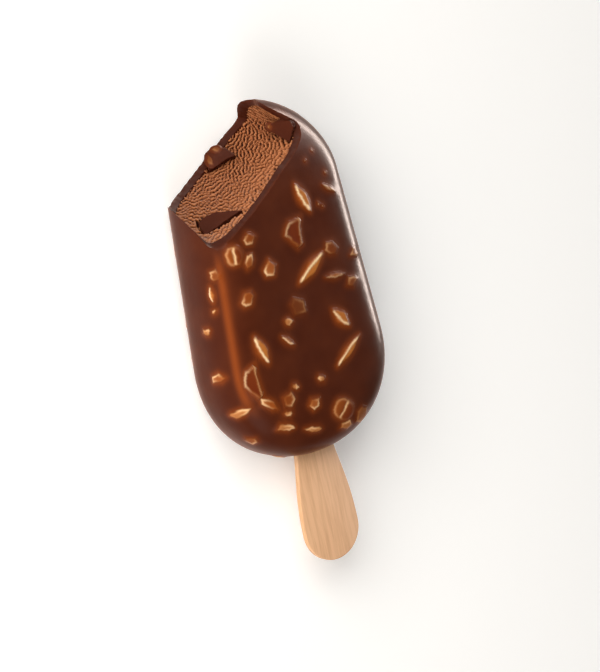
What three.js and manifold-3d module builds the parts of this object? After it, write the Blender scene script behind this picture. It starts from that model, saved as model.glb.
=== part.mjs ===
// Ice cream bar on a paddle stick, one corner bitten off. It lies on its flat back with the
// nutty face up. Millimetres: X runs across the bar, Y along it towards the bitten end, and Z
// up through its thickness. Heights are first measured from the middle of the thickness.
import * as THREE from 'three';
import { mergeVertices } from 'three/addons/utils/BufferGeometryUtils.js';
import Module from 'manifold-3d';

const wasm = await Module();
wasm.setup();

// The moulded bar, out to the face of its chocolate
const barLength = 94.5;
const barWidth = 49.6;
const barThickness = 26;
const widthTaper = 0.128;
const thicknessTaper = 0.045;
const topRounding = 20;
const footRounding = 27;
const topRoundness = 1.9;
const footRoundness = 2.1;
const faceFullness = 6;
const edgeFullness = 2.5;
const coatThickness = 1.5;
const pieceGap = 0.3;

// The flat of the back: how deep it is cut, and which ring from the middle is drawn in to its
// few corners, so that the bar lies on points that stand well apart
const flatBack = { depth: 0.14, ring: 4, corners: 6, hollow: 0.98 };

// How many flat facets stand for each curve
const facets = {
  outline: 60, rings: 10, innerOutline: 40, innerRings: 8, stickRound: 10, curveDivisions: 600,
};

// The bite, in its own directions: across runs along the line of teeth, deep into the bar
const biteTurn = 36;
const bite = {
  depth: -22.1, slant: 0.344, bowl: 0.028, arcRise: 4, roundness: 2.3,
  nearWall: -6.1, nearWallSlant: -0.36, farWall: 31, farWallBow: 0.02, farWallLean: 0.035,
  wallLength: 26, wallShare: 0.25, sectionLength: 92, margin: 2, coatStep: 2, coatCrack: 0.3,
};

// The ice cream's torn crystals on the bitten face
const crag = { height: 0.45, across: 2.6, up: 1.5, step: 1.5, recess: 0.35 };

// The stick: a paddle, of which about a third shows
const stick = {
  length: 94, thickness: 1.8, neckWidth: 10.6, endWidth: 17.2, offset: 1.1,
  outerEnd: -77.7, widenFrom: -36, curvePull: 15, edgeRound: 0.35,
};

// Nut pieces on the face: kind, across, along, length, width, turn from X in degrees
const faceNuts = [
  ['sliver', 6, 19.9, 8.4, 3, -69], ['sliver', 14.9, 20.4, 4.7, 1.3, -36],
  ['skin', 1, 12.1, 7, 5.5, -95], ['chip', -12.4, 13.6, 3.7, 3.5, -123],
  ['half', -17.4, 10.4, 5, 4.5, -92], ['chip', -13.9, 8, 4, 2.8, -121],
  ['chip', -8.5, 4.9, 4.5, 4.3, -129], ['chip', -16.7, -1.1, 4.8, 3.3, -124],
  ['sliver', 4, 1.9, 11.2, 3.2, 33], ['chip', 11.1, 5.4, 4, 4, -66],
  ['chip', 18.8, 2.3, 2.9, 3.7, -94], ['sliver', 10.6, -1.9, 6.1, 1.6, -5],
  ['chip', 15.7, -4.7, 3.1, 3.8, -81], ['sliver', 9.6, -12.9, 6.8, 3.4, -53],
  ['sliver', 9.7, -21.9, 10.8, 2.5, 35], ['chip', -6.4, -9.7, 2.4, 2, -15],
  ['sliver', -7.9, -14.3, 4.3, 1.3, -44], ['sliver', -15.9, -14.6, 8.2, 3, -72],
  ['skin', -20.2, -22, 8.3, 4.4, -83], ['chip', -16.7, -28.7, 5.8, 2.3, -40],
  ['chip', -11, -29.4, 4.5, 3.9, -69], ['chip', -0.3, -26.6, 2.5, 1.8, -16],
  ['chip', -3.8, -32.2, 3.4, 3.4, -101], ['half', 5.1, -36.5, 7, 5.6, -40],
  ['chip', 5.9, -41, 4.8, 2.7, -17], ['chip', 11.8, -39.8, 5.5, 5, -75],
  ['chip', -13.1, -36.1, 5.8, 2.3, -16], ['chip', -4.6, -39.1, 5.8, 1.8, -17],
  ['chip', -2.5, -7, 5.5, 4.5, -51],
];
// Nut pieces on the left side: kind, along, height, length, width, turn from the bar's length
const sideNuts = [
  ['chip', 7.2, 8.9, 3.3, 3.2, 10], ['sliver', 1.9, 7.4, 4.2, 1.6, 0],
  ['chip', -7.7, 3.8, 3.6, 1.9, 80], ['chip', -20.1, 5.1, 5, 2.5, 80],
  ['sliver', -31.2, 8, 6.6, 3, 0], ['chip', -38.6, 5.5, 3.6, 3, 60],
];
// Nut pieces strewn by a seeded draw round the sides that the two lists leave out
const strewnNuts = {
  seed: 4127, wanted: 30, tries: 1200, apart: 8.5, topHeight: 4, lowHeight: -11,
  length: [3, 7], width: [2, 3.8], sliverShare: 0.4, clearOfBite: 4.5, clearOfStick: 12,
  listedSide: { across: -12, lowest: -10.5, along: 26 },
};
const nutRise = { chip: 0.6, sliver: 0.65, skin: 0.7, half: 0.8 };
const nutSink = { chip: 0.5, sliver: 0.45, skin: 0.45, half: 0.4 };
const strewnRiseShare = 0.6;
const halfNut = { lobeShift: 0.27, lobeWidth: 0.62 };
const flakeNutSink = 0.3;

// Broken flakes of coating on the bitten face. Each outline is drawn on the flake's own plane.
const flakes = {
  coating_flake_front: {
    centre: [-12.8, 19.8, 0.1], turn: [-63, -36, -10], bend: 0.006,
    outline: [[-5, 2.2], [-2.8, 2.6], [0.5, 1.3], [5.9, -3.7], [0.9, -3.4], [-5.3, -2.9]],
    nuts: [],
  },
  coating_flake_left: {
    centre: [-2.9, 33.6, -7.3], turn: [-38, -34, -1], bend: 0.03,
    outline: [[-4.3, 2.2], [-3.3, 3.3], [-1.3, 3.5], [1.9, 1.4], [3.3, -1.8], [-0.2, -1.6], [-4.7, -1.5]],
    nuts: [['chip', -3, 0.6, 3.4, 2.1, 75], ['chip', -0.2, 2.2, 2.6, 1.5, -35]],
  },
  coating_flake_top: {
    centre: [7.9, 37.8, 5.4], turn: [-5.7, -68.2, -17.4], bend: 0.008,
    outline: [[-4.8, -0.2], [-1.9, 1.4], [0.8, 2.5], [3.9, 2.5], [4.6, 1], [3.4, -3.2], [-0.6, -1.4]],
    nuts: [['chip', -2.6, 0.3, 1.7, 1.5, 0]],
  },
};

const finish = {
  chocolate: { color: 0x54240f, roughness: 0.22, metalness: 0 },
  flake: { color: 0x3f1b10, roughness: 0.35, metalness: 0 },
  iceCream: { color: 0x96613f, roughness: 0.8, metalness: 0 },
  wood: { color: 0xd3a379, roughness: 0.65, metalness: 0 },
};

const radians = THREE.MathUtils.degToRad;
const clamp = THREE.MathUtils.clamp;

// A seeded draw between 0 and 1
function makeRandom(seed) {
  const multiplier = 16807;
  const modulus = 2147483647;
  let state = seed;
  return () => {
    state = (state * multiplier) % modulus;
    return state / modulus;
  };
}

// Half the bar's width at a distance along it from its middle, for a surface sunk by inset
function halfWidthAt(along, inset) {
  const halfLength = barLength / 2 - inset;
  const straight = barWidth / 2 * (1 - widthTaper * along / (barLength / 2)) - inset;
  const topReach = topRounding - inset;
  const footReach = footRounding - inset;
  const intoTop = clamp((along - halfLength + topReach) / topReach, 0, 1);
  const intoFoot = clamp((-along - halfLength + footReach) / footReach, 0, 1);
  const top = (1 - intoTop ** topRoundness) ** (1 / topRoundness);
  const foot = (1 - intoFoot ** footRoundness) ** (1 / footRoundness);
  return straight * top * foot;
}

// Half the bar's thickness at a distance along it
function halfThicknessAt(along) {
  return barThickness / 2 * (1 - thicknessTaper * along / (barLength / 2));
}

// The bar's outline seen from above, once round
class BarOutline extends THREE.Curve {
  constructor(inset) {
    super();
    this.inset = inset;
    this.arcLengthDivisions = facets.curveDivisions;
  }

  getPoint(t, target = new THREE.Vector2()) {
    const side = t < 0.5 ? 1 : -1;
    const along = -(barLength / 2 - this.inset) * Math.cos(2 * Math.PI * t);
    return target.set(side * halfWidthAt(along, this.inset), along);
  }
}

// From the middle of a face (share 0, rise 1) out to the rim (share 1, rise 0)
class EdgeProfile extends THREE.Curve {
  constructor() {
    super();
    this.arcLengthDivisions = facets.curveDivisions;
  }

  getPoint(t, target = new THREE.Vector2()) {
    const angle = t * Math.PI / 2;
    const share = Math.sin(angle) ** (2 / faceFullness);
    const rise = Math.max(Math.cos(angle), 0) ** (2 / edgeFullness);
    return target.set(share * barWidth / 2, rise * barThickness / 2);
  }
}

// From heights above the middle of the thickness to heights above the flat back
function liftAt(along) {
  return halfThicknessAt(along) - flatBack.depth;
}

function settle(geometry, flatten) {
  const place = geometry.attributes.position;
  for (let i = 0; i < place.count; i += 1) {
    const height = place.getZ(i) + liftAt(place.getY(i));
    place.setZ(i, flatten ? Math.max(height, 0) : height);
  }
  return geometry;
}

function geometryFrom(points, triangles) {
  const geometry = new THREE.BufferGeometry();
  geometry.setAttribute('position', new THREE.Float32BufferAttribute(points.flat(), 3));
  geometry.setIndex(triangles.flat());
  return geometry;
}

// A closed skin over rings of points, with one point closing each end
function ringSkin(rings, first, last) {
  const points = [first, ...rings.flat(), last];
  const count = rings[0].length;
  const triangles = [];
  const at = (ring, k) => 1 + ring * count + (k % count);
  for (let k = 0; k < count; k += 1) {
    triangles.push([0, at(0, k), at(0, k + 1)]);
    for (let ring = 0; ring < rings.length - 1; ring += 1) {
      triangles.push([at(ring, k), at(ring + 1, k), at(ring + 1, k + 1)]);
      triangles.push([at(ring, k), at(ring + 1, k + 1), at(ring, k + 1)]);
    }
    triangles.push([points.length - 1, at(rings.length - 1, k + 1), at(rings.length - 1, k)]);
  }
  return geometryFrom(points, triangles);
}

// A ring drawn in to a few corners, with slightly hollow sides between them
function drawnIn(ring) {
  const side = ring.length / flatBack.corners;
  return ring.map((point, k) => {
    const share = (k % side) / side;
    if (share === 0) return point;
    const first = ring[k - k % side];
    const next = ring[(k - k % side + side) % ring.length];
    const between = (axis) => flatBack.hollow * THREE.MathUtils.lerp(first[axis], next[axis], share);
    return [between(0), between(1), point[2]];
  });
}

// The bar's closed surface, sunk by inset. Surfaces with the same counts match point for point.
function barGeometry(inset, outlineCount, ringCount, flatten) {
  const spacing = new BarOutline(0);
  const sunk = new BarOutline(inset);
  const outline = [];
  for (let i = 0; i < outlineCount; i += 1) {
    outline.push(sunk.getPoint(spacing.getUtoTmapping(i / outlineCount)));
  }
  const profile = new EdgeProfile().getSpacedPoints(ringCount).slice(1);
  const levels = [];
  profile.forEach((p) => levels.push([p.x / (barWidth / 2), p.y / (barThickness / 2)]));
  profile.slice(0, -1).reverse().forEach((p) => {
    levels.push([p.x / (barWidth / 2), -p.y / (barThickness / 2)]);
  });
  const rings = levels.map(([share, rise]) => outline.map((p) => {
    const height = rise * (halfThicknessAt(p.y * share) - inset);
    return [p.x * share, p.y * share, height];
  }));
  const middle = halfThicknessAt(0) - inset;
  if (flatten) rings.push(...rings.splice(-flatBack.ring).map((ring, k) => (k === 0 ? drawnIn(ring) : ring)));
  return settle(ringSkin(rings, [0, 0, middle], [0, 0, -middle]), flatten);
}

function solidFrom(geometry) {
  const bare = geometry.clone();
  bare.deleteAttribute('normal');
  bare.deleteAttribute('uv');
  const merged = mergeVertices(bare);
  const mesh = new wasm.Mesh({
    numProp: 3,
    vertProperties: new Float32Array(merged.attributes.position.array),
    triVerts: new Uint32Array(merged.index.array),
  });
  return new wasm.Manifold(mesh);
}

function geometryOf(solid) {
  const mesh = solid.getMesh();
  const geometry = new THREE.BufferGeometry();
  geometry.setAttribute('position', new THREE.Float32BufferAttribute(mesh.vertProperties, 3));
  geometry.setIndex(new THREE.Uint32BufferAttribute(mesh.triVerts, 1));
  geometry.computeVertexNormals();
  return geometry;
}

// Smooth noise between -1 and 1 on a grid of hashed corners
function noiseAt(x, y) {
  const cellX = Math.floor(x);
  const cellY = Math.floor(y);
  const corner = (i, j) => {
    const wave = Math.sin(i * 127.1 + j * 311.7) * 43758.5453;
    return 2 * (wave - Math.floor(wave)) - 1;
  };
  const ease = (t) => t * t * (3 - 2 * t);
  const alongX = ease(x - cellX);
  const alongY = ease(y - cellY);
  const low = THREE.MathUtils.lerp(corner(cellX, cellY), corner(cellX + 1, cellY), alongX);
  const high = THREE.MathUtils.lerp(corner(cellX, cellY + 1), corner(cellX + 1, cellY + 1), alongX);
  return THREE.MathUtils.lerp(low, high, alongY);
}

// The bite's section at one height: down one wall, round the arc and up the other
class BiteSection extends THREE.Curve {
  constructor(height) {
    super();
    this.height = height;
    this.arcLengthDivisions = facets.curveDivisions;
    this.bottom = bite.depth + bite.slant * height - bite.bowl * height ** 2;
    this.near = bite.nearWall + bite.nearWallSlant * height;
    this.far = bite.farWall - (height < 0 ? bite.farWallBow * height ** 2 : 0);
    this.lean = bite.farWallLean * Math.max(height, 0);
  }

  getPoint(t, target = new THREE.Vector2()) {
    const elbow = this.bottom - bite.arcRise;
    if (t < bite.wallShare) {
      return target.set(this.near, elbow - bite.wallLength * (1 - t / bite.wallShare));
    }
    if (t > 1 - bite.wallShare) {
      const up = bite.wallLength * (1 - (1 - t) / bite.wallShare);
      return target.set(this.far - this.lean * up, elbow - up);
    }
    const angle = ((t - bite.wallShare) / (1 - 2 * bite.wallShare) - 0.5) * Math.PI;
    const power = 2 / bite.roundness;
    const across = Math.sign(angle) * Math.abs(Math.sin(angle)) ** power;
    const deep = Math.max(Math.cos(angle), 0) ** power;
    const middle = (this.near + this.far) / 2;
    return target.set(middle + across * (this.far - this.near) / 2, elbow + bite.arcRise * deep);
  }
}

// A solid that takes the bite away. The roughness of the bitten face is cragHeight deep.
function biteGeometry(step, recess, cragHeight) {
  const reach = barThickness / 2 + bite.margin;
  const rows = Math.round(2 * reach / step);
  const columns = Math.round(bite.sectionLength / step);
  const turn = radians(biteTurn);
  const points = [];
  for (let row = 0; row <= rows; row += 1) {
    const height = -reach + 2 * reach * row / rows;
    const section = new BiteSection(height).getSpacedPoints(columns);
    section.forEach((p) => {
      const rough = noiseAt(p.x / crag.across, height / crag.up + p.x / (2 * crag.across));
      const deep = p.y + recess + cragHeight * (1 - 2 * Math.abs(rough));
      points.push([
        p.x * Math.cos(turn) + deep * Math.sin(turn),
        p.x * Math.sin(turn) - deep * Math.cos(turn),
        height,
      ]);
    });
  }
  return settle(geometryFrom(points, sheetSolidTriangles(points, rows, columns + 1)), false);
}

// Triangles that close a sheet of rows of points into a solid, each row's two ends joined
function sheetSolidTriangles(points, rows, count) {
  const triangles = [];
  const at = (row, k) => row * count + (k % count);
  for (let row = 0; row < rows; row += 1) {
    for (let k = 0; k < count; k += 1) {
      triangles.push([at(row, k), at(row, k + 1), at(row + 1, k + 1)]);
      triangles.push([at(row, k), at(row + 1, k + 1), at(row + 1, k)]);
    }
  }
  [0, rows].forEach((row) => {
    const ring = points.slice(row * count, (row + 1) * count);
    const faces = THREE.ShapeUtils.triangulateShape(ring.map((p) => new THREE.Vector2(p[0], p[1])), []);
    faces.forEach(([a, b, c]) => {
      const corners = [at(row, a), at(row, b), at(row, c)];
      triangles.push(row === 0 ? corners.reverse() : corners);
    });
  });
  return triangles;
}

// Share of the way from the middle of a face to its rim
function shareAt(x, y) {
  let low = Math.max(Math.abs(y) / (barLength / 2), 0.01);
  let high = 3;
  for (let i = 0; i < 40; i += 1) {
    const middle = (low + high) / 2;
    const inside = halfWidthAt(y / middle, 0) * middle > Math.abs(x);
    if (inside) high = middle;
    else low = middle;
  }
  return high;
}

// Below zero inside the bar, above zero outside it
function barLevel(point) {
  const rise = Math.abs(point.z) / halfThicknessAt(point.y);
  return shareAt(point.x, point.y) ** faceFullness + rise ** edgeFullness - 1;
}

function normalAt(point) {
  const step = 0.05;
  const slope = (axis) => {
    const ahead = point.clone();
    const behind = point.clone();
    ahead[axis] += step;
    behind[axis] -= step;
    return barLevel(ahead) - barLevel(behind);
  };
  return new THREE.Vector3(slope('x'), slope('y'), slope('z')).normalize();
}

function pointOnFace(x, y) {
  const share = shareAt(x, y);
  const rise = Math.max(1 - share ** faceFullness, 0) ** (1 / edgeFullness);
  return new THREE.Vector3(x, y, rise * halfThicknessAt(y));
}

// The point of an outline at a height above or below the middle of the thickness
function pointOnEdge(outlinePoint, height) {
  const rise = Math.abs(height) / halfThicknessAt(outlinePoint.y);
  const share = (1 - rise ** edgeFullness) ** (1 / faceFullness);
  return new THREE.Vector3(outlinePoint.x * share, outlinePoint.y * share, height);
}

// An uneven lump with pointed or blunt ends, lying along X, its broad side in XY
function lumpGeometry(length, width, rise, sink, blunt, random) {
  const sides = 5;
  const stations = length > 4.5 ? [0.62, 0, -0.62] : [0.42, -0.42];
  const rings = stations.map((station) => {
    const girth = (1 - Math.abs(station) ** blunt) * (0.92 + 0.2 * random());
    const ring = [];
    for (let k = 0; k < sides; k += 1) {
      const angle = 2 * Math.PI * (k + 0.25) / sides;
      const tall = Math.sin(angle) > 0 ? rise : sink;
      const uneven = 0.9 + 0.2 * random();
      ring.push([
        station * length / 2,
        girth * uneven * Math.cos(angle) * width / 2,
        girth * Math.sin(angle) * tall,
      ]);
    }
    return ring;
  });
  return ringSkin(rings, [length / 2, 0, 0], [-length / 2, 0, 0]);
}

// One nut piece as one or two lumps. A half nut is two lobes with a groove between them.
function nutLumps(kind, length, width, riseShare, random) {
  const rise = nutRise[kind] * riseShare;
  const sink = nutSink[kind];
  const blunt = kind === 'sliver' ? 1.6 : 3;
  if (kind !== 'half') return [lumpGeometry(length, width, rise, sink, blunt, random)];
  return [-halfNut.lobeShift, halfNut.lobeShift].map((shift) => {
    const lump = lumpGeometry(length, halfNut.lobeWidth * width, rise, sink, blunt, random);
    return lump.translate(0, shift * width, 0);
  });
}

// Sets a lump made round the origin onto a surface point, its X turned towards heading
function setOn(geometry, point, normal, heading) {
  const along = heading.clone().addScaledVector(normal, -heading.dot(normal)).normalize();
  const beside = new THREE.Vector3().crossVectors(normal, along);
  const place = new THREE.Matrix4().makeBasis(along, beside, normal).setPosition(point);
  return geometry.applyMatrix4(place);
}

function faceNutSites() {
  return faceNuts.map(([kind, x, y, length, width, turn]) => {
    const angle = radians(turn);
    const point = pointOnFace(x, y);
    const heading = new THREE.Vector3(Math.cos(angle), Math.sin(angle), 0);
    return { kind, length, width, point, heading, riseShare: 1 };
  });
}

function sideNutSites() {
  return sideNuts.map(([kind, along, height, length, width, turn]) => {
    const angle = radians(turn);
    const outlinePoint = new THREE.Vector2(-halfWidthAt(along, 0), along);
    const heading = new THREE.Vector3(0, Math.cos(angle), Math.sin(angle));
    const point = pointOnEdge(outlinePoint, height);
    return { kind, length, width, point, heading, riseShare: strewnRiseShare };
  });
}

// How far a point lies into the bar from the bite's arc, and so clear of the bite
function clearOfBite(point) {
  const turn = radians(biteTurn);
  const across = point.x * Math.cos(turn) + point.y * Math.sin(turn);
  const deep = point.x * Math.sin(turn) - point.y * Math.cos(turn);
  const section = new BiteSection(point.z);
  const outside = Math.max(section.near - across, across - section.far);
  return Math.max(outside, deep - section.bottom);
}

// Seeded sites round the rim, away from each other, the bite, the stick and the shown side
function strewnNutSites(taken) {
  const random = makeRandom(strewnNuts.seed);
  const outline = new BarOutline(0);
  const between = ([low, high]) => low + (high - low) * random();
  const sites = [];
  for (let i = 0; i < strewnNuts.tries && sites.length < strewnNuts.wanted; i += 1) {
    const outlinePoint = outline.getPointAt(random());
    const height = between([strewnNuts.lowHeight, strewnNuts.topHeight]);
    const length = between(strewnNuts.length);
    const width = between(strewnNuts.width);
    const heading = new THREE.Vector3(random() - 0.5, random() - 0.5, random() - 0.5);
    const kind = random() < strewnNuts.sliverShare ? 'sliver' : 'chip';
    const point = pointOnEdge(outlinePoint, height);
    const near = [...taken, ...sites].some((site) => site.point.distanceTo(point) < strewnNuts.apart);
    const { across, lowest, along } = strewnNuts.listedSide;
    const listed = point.x < across && height > lowest && point.y < along;
    const atStick = Math.hypot(point.x - stick.offset, point.y + barLength / 2) < strewnNuts.clearOfStick;
    const atBite = clearOfBite(point) < strewnNuts.clearOfBite;
    if (!near && !listed && !atStick && !atBite) {
      sites.push({ kind, length, width, point, heading, riseShare: strewnRiseShare });
    }
  }
  return sites;
}

function nutSolids() {
  const random = makeRandom(strewnNuts.seed + 1);
  const placed = [...faceNutSites(), ...sideNutSites()];
  const sites = [...placed, ...strewnNutSites(placed)];
  return sites.flatMap((site) => {
    const normal = normalAt(site.point);
    const lumps = nutLumps(site.kind, site.length, site.width, site.riseShare, random);
    return lumps.map((lump) => solidFrom(settle(setOn(lump, site.point, normal, site.heading), true)));
  });
}

// The stick's outline, larger by grow all round
function stickOutline(grow) {
  const neck = stick.neckWidth / 2 + grow;
  const wide = stick.endWidth / 2 + grow;
  const innerTop = stick.outerEnd + stick.length - stick.neckWidth / 2;
  const outerBend = stick.outerEnd + stick.endWidth / 2;
  const pull = stick.curvePull;
  const shape = new THREE.Shape();
  shape.moveTo(neck, innerTop);
  shape.absarc(0, innerTop, neck, 0, Math.PI, false);
  shape.lineTo(-neck, stick.widenFrom);
  shape.bezierCurveTo(-neck, stick.widenFrom - pull, -wide, outerBend + pull, -wide, outerBend);
  shape.absarc(0, outerBend, wide, Math.PI, 2 * Math.PI, false);
  shape.bezierCurveTo(wide, outerBend + pull, neck, stick.widenFrom - pull, neck, stick.widenFrom);
  shape.closePath();
  return shape;
}

function stickGeometry(grow) {
  const round = grow > 0 ? 0 : stick.edgeRound;
  const depth = stick.thickness + 2 * grow - 2 * round;
  const geometry = new THREE.ExtrudeGeometry(stickOutline(grow), {
    depth, curveSegments: facets.stickRound, steps: 1, bevelEnabled: round > 0,
    bevelThickness: round, bevelSize: round, bevelOffset: -round, bevelSegments: 2,
  });
  return settle(geometry.translate(stick.offset, 0, -depth / 2), false);
}

// A flake of coating: a thin plate with a slight bend, larger by grow all round
function flakeGeometry(flake, grow) {
  const corners = flake.outline.map(([x, y]) => {
    const corner = new THREE.Vector2(x, y);
    return corner.setLength(corner.length() + 1.5 * grow);
  });
  const depth = coatThickness + 2 * grow;
  const geometry = new THREE.ExtrudeGeometry(new THREE.Shape(corners), {
    depth, steps: 1, bevelEnabled: false,
  });
  geometry.translate(0, 0, -coatThickness - grow);
  const place = geometry.attributes.position;
  for (let i = 0; i < place.count; i += 1) {
    place.setZ(i, place.getZ(i) - flake.bend * place.getX(i) ** 2);
  }
  return geometry;
}

function flakeMatrix(flake) {
  const [tiltX, tiltY, tiltZ] = flake.turn.map(radians);
  const turn = new THREE.Matrix4().makeRotationFromEuler(new THREE.Euler(tiltX, tiltY, tiltZ));
  return turn.setPosition(...flake.centre);
}

function flakeSolid(flake, grow) {
  const random = makeRandom(strewnNuts.seed + 2);
  let solid = solidFrom(settle(flakeGeometry(flake, grow).applyMatrix4(flakeMatrix(flake)), false));
  flake.nuts.forEach(([kind, x, y, length, width, turn]) => {
    const [lump] = nutLumps(kind, length + 2 * grow, width + 2 * grow, 1, random);
    lump.rotateZ(radians(turn)).translate(x, y, grow - flakeNutSink - flake.bend * x ** 2);
    solid = solid.add(solidFrom(settle(lump.applyMatrix4(flakeMatrix(flake)), false)));
  });
  return solid;
}

// What is taken out of the coating and of the ice cream alike
function cutOutAll(solid) {
  const pockets = Object.values(flakes).map((flake) => flakeSolid(flake, pieceGap));
  return [solidFrom(stickGeometry(pieceGap)), ...pockets].reduce((rest, cut) => rest.subtract(cut), solid);
}

// The largest piece of a solid, without the crumbs that a cut leaves loose
function largestPiece(solid) {
  return solid.decompose().sort((a, b) => b.volume() - a.volume())[0];
}

function coatingSolid() {
  const outer = solidFrom(barGeometry(0, facets.outline, facets.rings, true));
  const inner = solidFrom(barGeometry(coatThickness, facets.innerOutline, facets.innerRings, false));
  const nutty = nutSolids().reduce((whole, nut) => whole.add(nut), outer);
  const bitten = nutty.subtract(inner).subtract(solidFrom(biteGeometry(bite.coatStep, 0, bite.coatCrack)));
  return largestPiece(cutOutAll(bitten));
}

function iceCreamSolid() {
  const inset = coatThickness + pieceGap;
  const body = solidFrom(barGeometry(inset, facets.innerOutline, facets.innerRings, false));
  const torn = solidFrom(biteGeometry(crag.step, crag.recess, crag.height));
  return largestPiece(cutOutAll(body.subtract(torn)));
}

function namedMesh(name, geometry, look) {
  const mesh = new THREE.Mesh(geometry, new THREE.MeshStandardMaterial(look));
  mesh.name = name;
  return mesh;
}

// The whole bar, moved so that the middle of its footprint is at the origin
const group = new THREE.Group();
group.add(namedMesh('chocolate_coating', geometryOf(coatingSolid()), finish.chocolate));
group.add(namedMesh('ice_cream', geometryOf(iceCreamSolid()), finish.iceCream));
group.add(namedMesh('stick', stickGeometry(0), finish.wood));
Object.entries(flakes).forEach(([name, flake]) => {
  group.add(namedMesh(name, geometryOf(flakeSolid(flake, 0)), finish.flake));
});
const box = new THREE.Box3().setFromObject(group);
group.position.set(-(box.min.x + box.max.x) / 2, -(box.min.y + box.max.y) / 2, -box.min.z);

export default group;
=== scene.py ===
import math

import bpy
import numpy as np
from mathutils import Euler, Matrix, Vector


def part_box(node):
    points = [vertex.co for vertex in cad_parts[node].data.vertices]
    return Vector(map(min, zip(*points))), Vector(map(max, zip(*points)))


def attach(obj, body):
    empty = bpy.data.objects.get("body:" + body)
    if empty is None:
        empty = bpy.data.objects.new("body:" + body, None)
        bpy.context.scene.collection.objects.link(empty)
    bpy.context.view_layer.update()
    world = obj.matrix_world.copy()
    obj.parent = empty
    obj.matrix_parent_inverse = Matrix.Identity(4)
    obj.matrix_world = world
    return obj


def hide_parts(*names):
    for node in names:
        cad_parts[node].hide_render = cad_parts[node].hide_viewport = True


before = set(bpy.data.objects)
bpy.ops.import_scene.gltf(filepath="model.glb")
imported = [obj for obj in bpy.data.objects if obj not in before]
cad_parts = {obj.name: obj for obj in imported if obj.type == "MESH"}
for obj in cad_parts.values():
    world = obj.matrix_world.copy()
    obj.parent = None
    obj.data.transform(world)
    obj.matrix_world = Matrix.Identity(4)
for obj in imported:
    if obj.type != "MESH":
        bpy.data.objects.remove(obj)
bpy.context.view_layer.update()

mm = 0.001
drawing = bpy.context.scene.collection


# Small helpers for node trees

class Formula:
    # A number in a node tree that can be worked with in plain arithmetic
    def __init__(self, tree, socket):
        self.tree = tree
        self.socket = socket

    def work(self, operation, *others):
        node = self.tree.nodes.new("ShaderNodeMath")
        node.operation = operation
        for slot, value in zip(node.inputs, others):
            fill(self.tree, slot, value)
        return Formula(self.tree, node.outputs[0])

    def __neg__(self):
        return self.work("MULTIPLY", self, -1.0)


def formulaWork(operation, swapped=False):
    def method(self, *others):
        values = others + (self,) if swapped else (self,) + others
        return self.work(operation, *values)
    return method


for sign, operation in (("add", "ADD"), ("sub", "SUBTRACT"), ("mul", "MULTIPLY"), ("truediv", "DIVIDE"),
                        ("pow", "POWER")):
    setattr(Formula, "__" + sign + "__", formulaWork(operation))
    setattr(Formula, "__r" + sign + "__", formulaWork(operation, swapped=True))
for word, operation in (("__abs__", "ABSOLUTE"), ("cos", "COSINE"), ("sin", "SINE"), ("sign", "SIGN"),
                        ("root", "SQRT"), ("atLeast", "MAXIMUM"), ("atMost", "MINIMUM")):
    setattr(Formula, word, formulaWork(operation))


def fill(tree, slot, value):
    if isinstance(value, Formula):
        tree.links.new(value.socket, slot)
    elif isinstance(value, bpy.types.NodeSocket):
        tree.links.new(value, slot)
    else:
        slot.default_value = value


def addNode(tree, kind, inputs=None, **settings):
    node = tree.nodes.new(kind)
    for name, value in settings.items():
        setattr(node, name, value)
    for name, value in (inputs or {}).items():
        fill(tree, node.inputs[name], value)
    return node


def startTree(name, numbers):
    tree = bpy.data.node_groups.new(name, "GeometryNodeTree")
    tree.interface.new_socket("Geometry", in_out="INPUT", socket_type="NodeSocketGeometry")
    tree.interface.new_socket("Geometry", in_out="OUTPUT", socket_type="NodeSocketGeometry")
    for label, value in numbers.items():
        kind = "NodeSocketInt" if isinstance(value, int) else "NodeSocketFloat"
        tree.interface.new_socket(label, in_out="INPUT", socket_type=kind).default_value = value
    entry = tree.nodes.new("NodeGroupInput")
    return tree, entry, {label: Formula(tree, entry.outputs[label]) for label in numbers}


def endTree(tree, geometry, material):
    realized = addNode(tree, "GeometryNodeRealizeInstances", {"Geometry": geometry})
    coloured = addNode(tree, "GeometryNodeSetMaterial", {
        "Geometry": realized.outputs[0], "Material": material})
    finish = tree.nodes.new("NodeGroupOutput")
    fill(tree, finish.inputs[0], coloured.outputs[0])
    return tree


def applyTree(piece, tree, values):
    modifier = piece.modifiers.new(tree.name, "NODES")
    modifier.node_group = tree
    for item in tree.interface.items_tree:
        if item.in_out == "INPUT" and item.name in values:
            modifier[item.identifier] = values[item.name]
    makePlain(piece)


def cutAway(piece, tool):
    modifier = piece.modifiers.new("cut", "BOOLEAN")
    modifier.operation = "DIFFERENCE"
    modifier.solver = "MANIFOLD"
    modifier.object = tool
    makePlain(piece)


def makePlain(piece):
    # Turns the piece's modifiers into a plain mesh
    evaluated = piece.evaluated_get(bpy.context.evaluated_depsgraph_get())
    mesh = bpy.data.meshes.new_from_object(evaluated)
    piece.modifiers.clear()
    piece.data = mesh


def newPiece(name, points=(), faces=(), material=None):
    mesh = bpy.data.meshes.new(name)
    mesh.from_pydata([tuple(p) for p in points], [], [tuple(f) for f in faces])
    if material:
        mesh.materials.append(material)
    piece = bpy.data.objects.new(name, mesh)
    drawing.objects.link(piece)
    return piece


def gridPiece(name, grid):
    # A closed solid over a grid of points: each row's ends joined, the first and last row capped
    rows, columns = grid.shape[:2]
    index = np.arange(rows * columns).reshape(rows, columns)
    here, beside = index[:-1], np.roll(index, -1, axis=1)[:-1]
    above, corner = index[1:], np.roll(index, -1, axis=1)[1:]
    walls = np.stack([here, beside, corner, above], axis=-1).reshape(-1, 4)
    caps = [list(index[0][::-1]), list(index[-1])]
    return newPiece(name, grid.reshape(-1, 3), walls.tolist() + caps)


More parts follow.
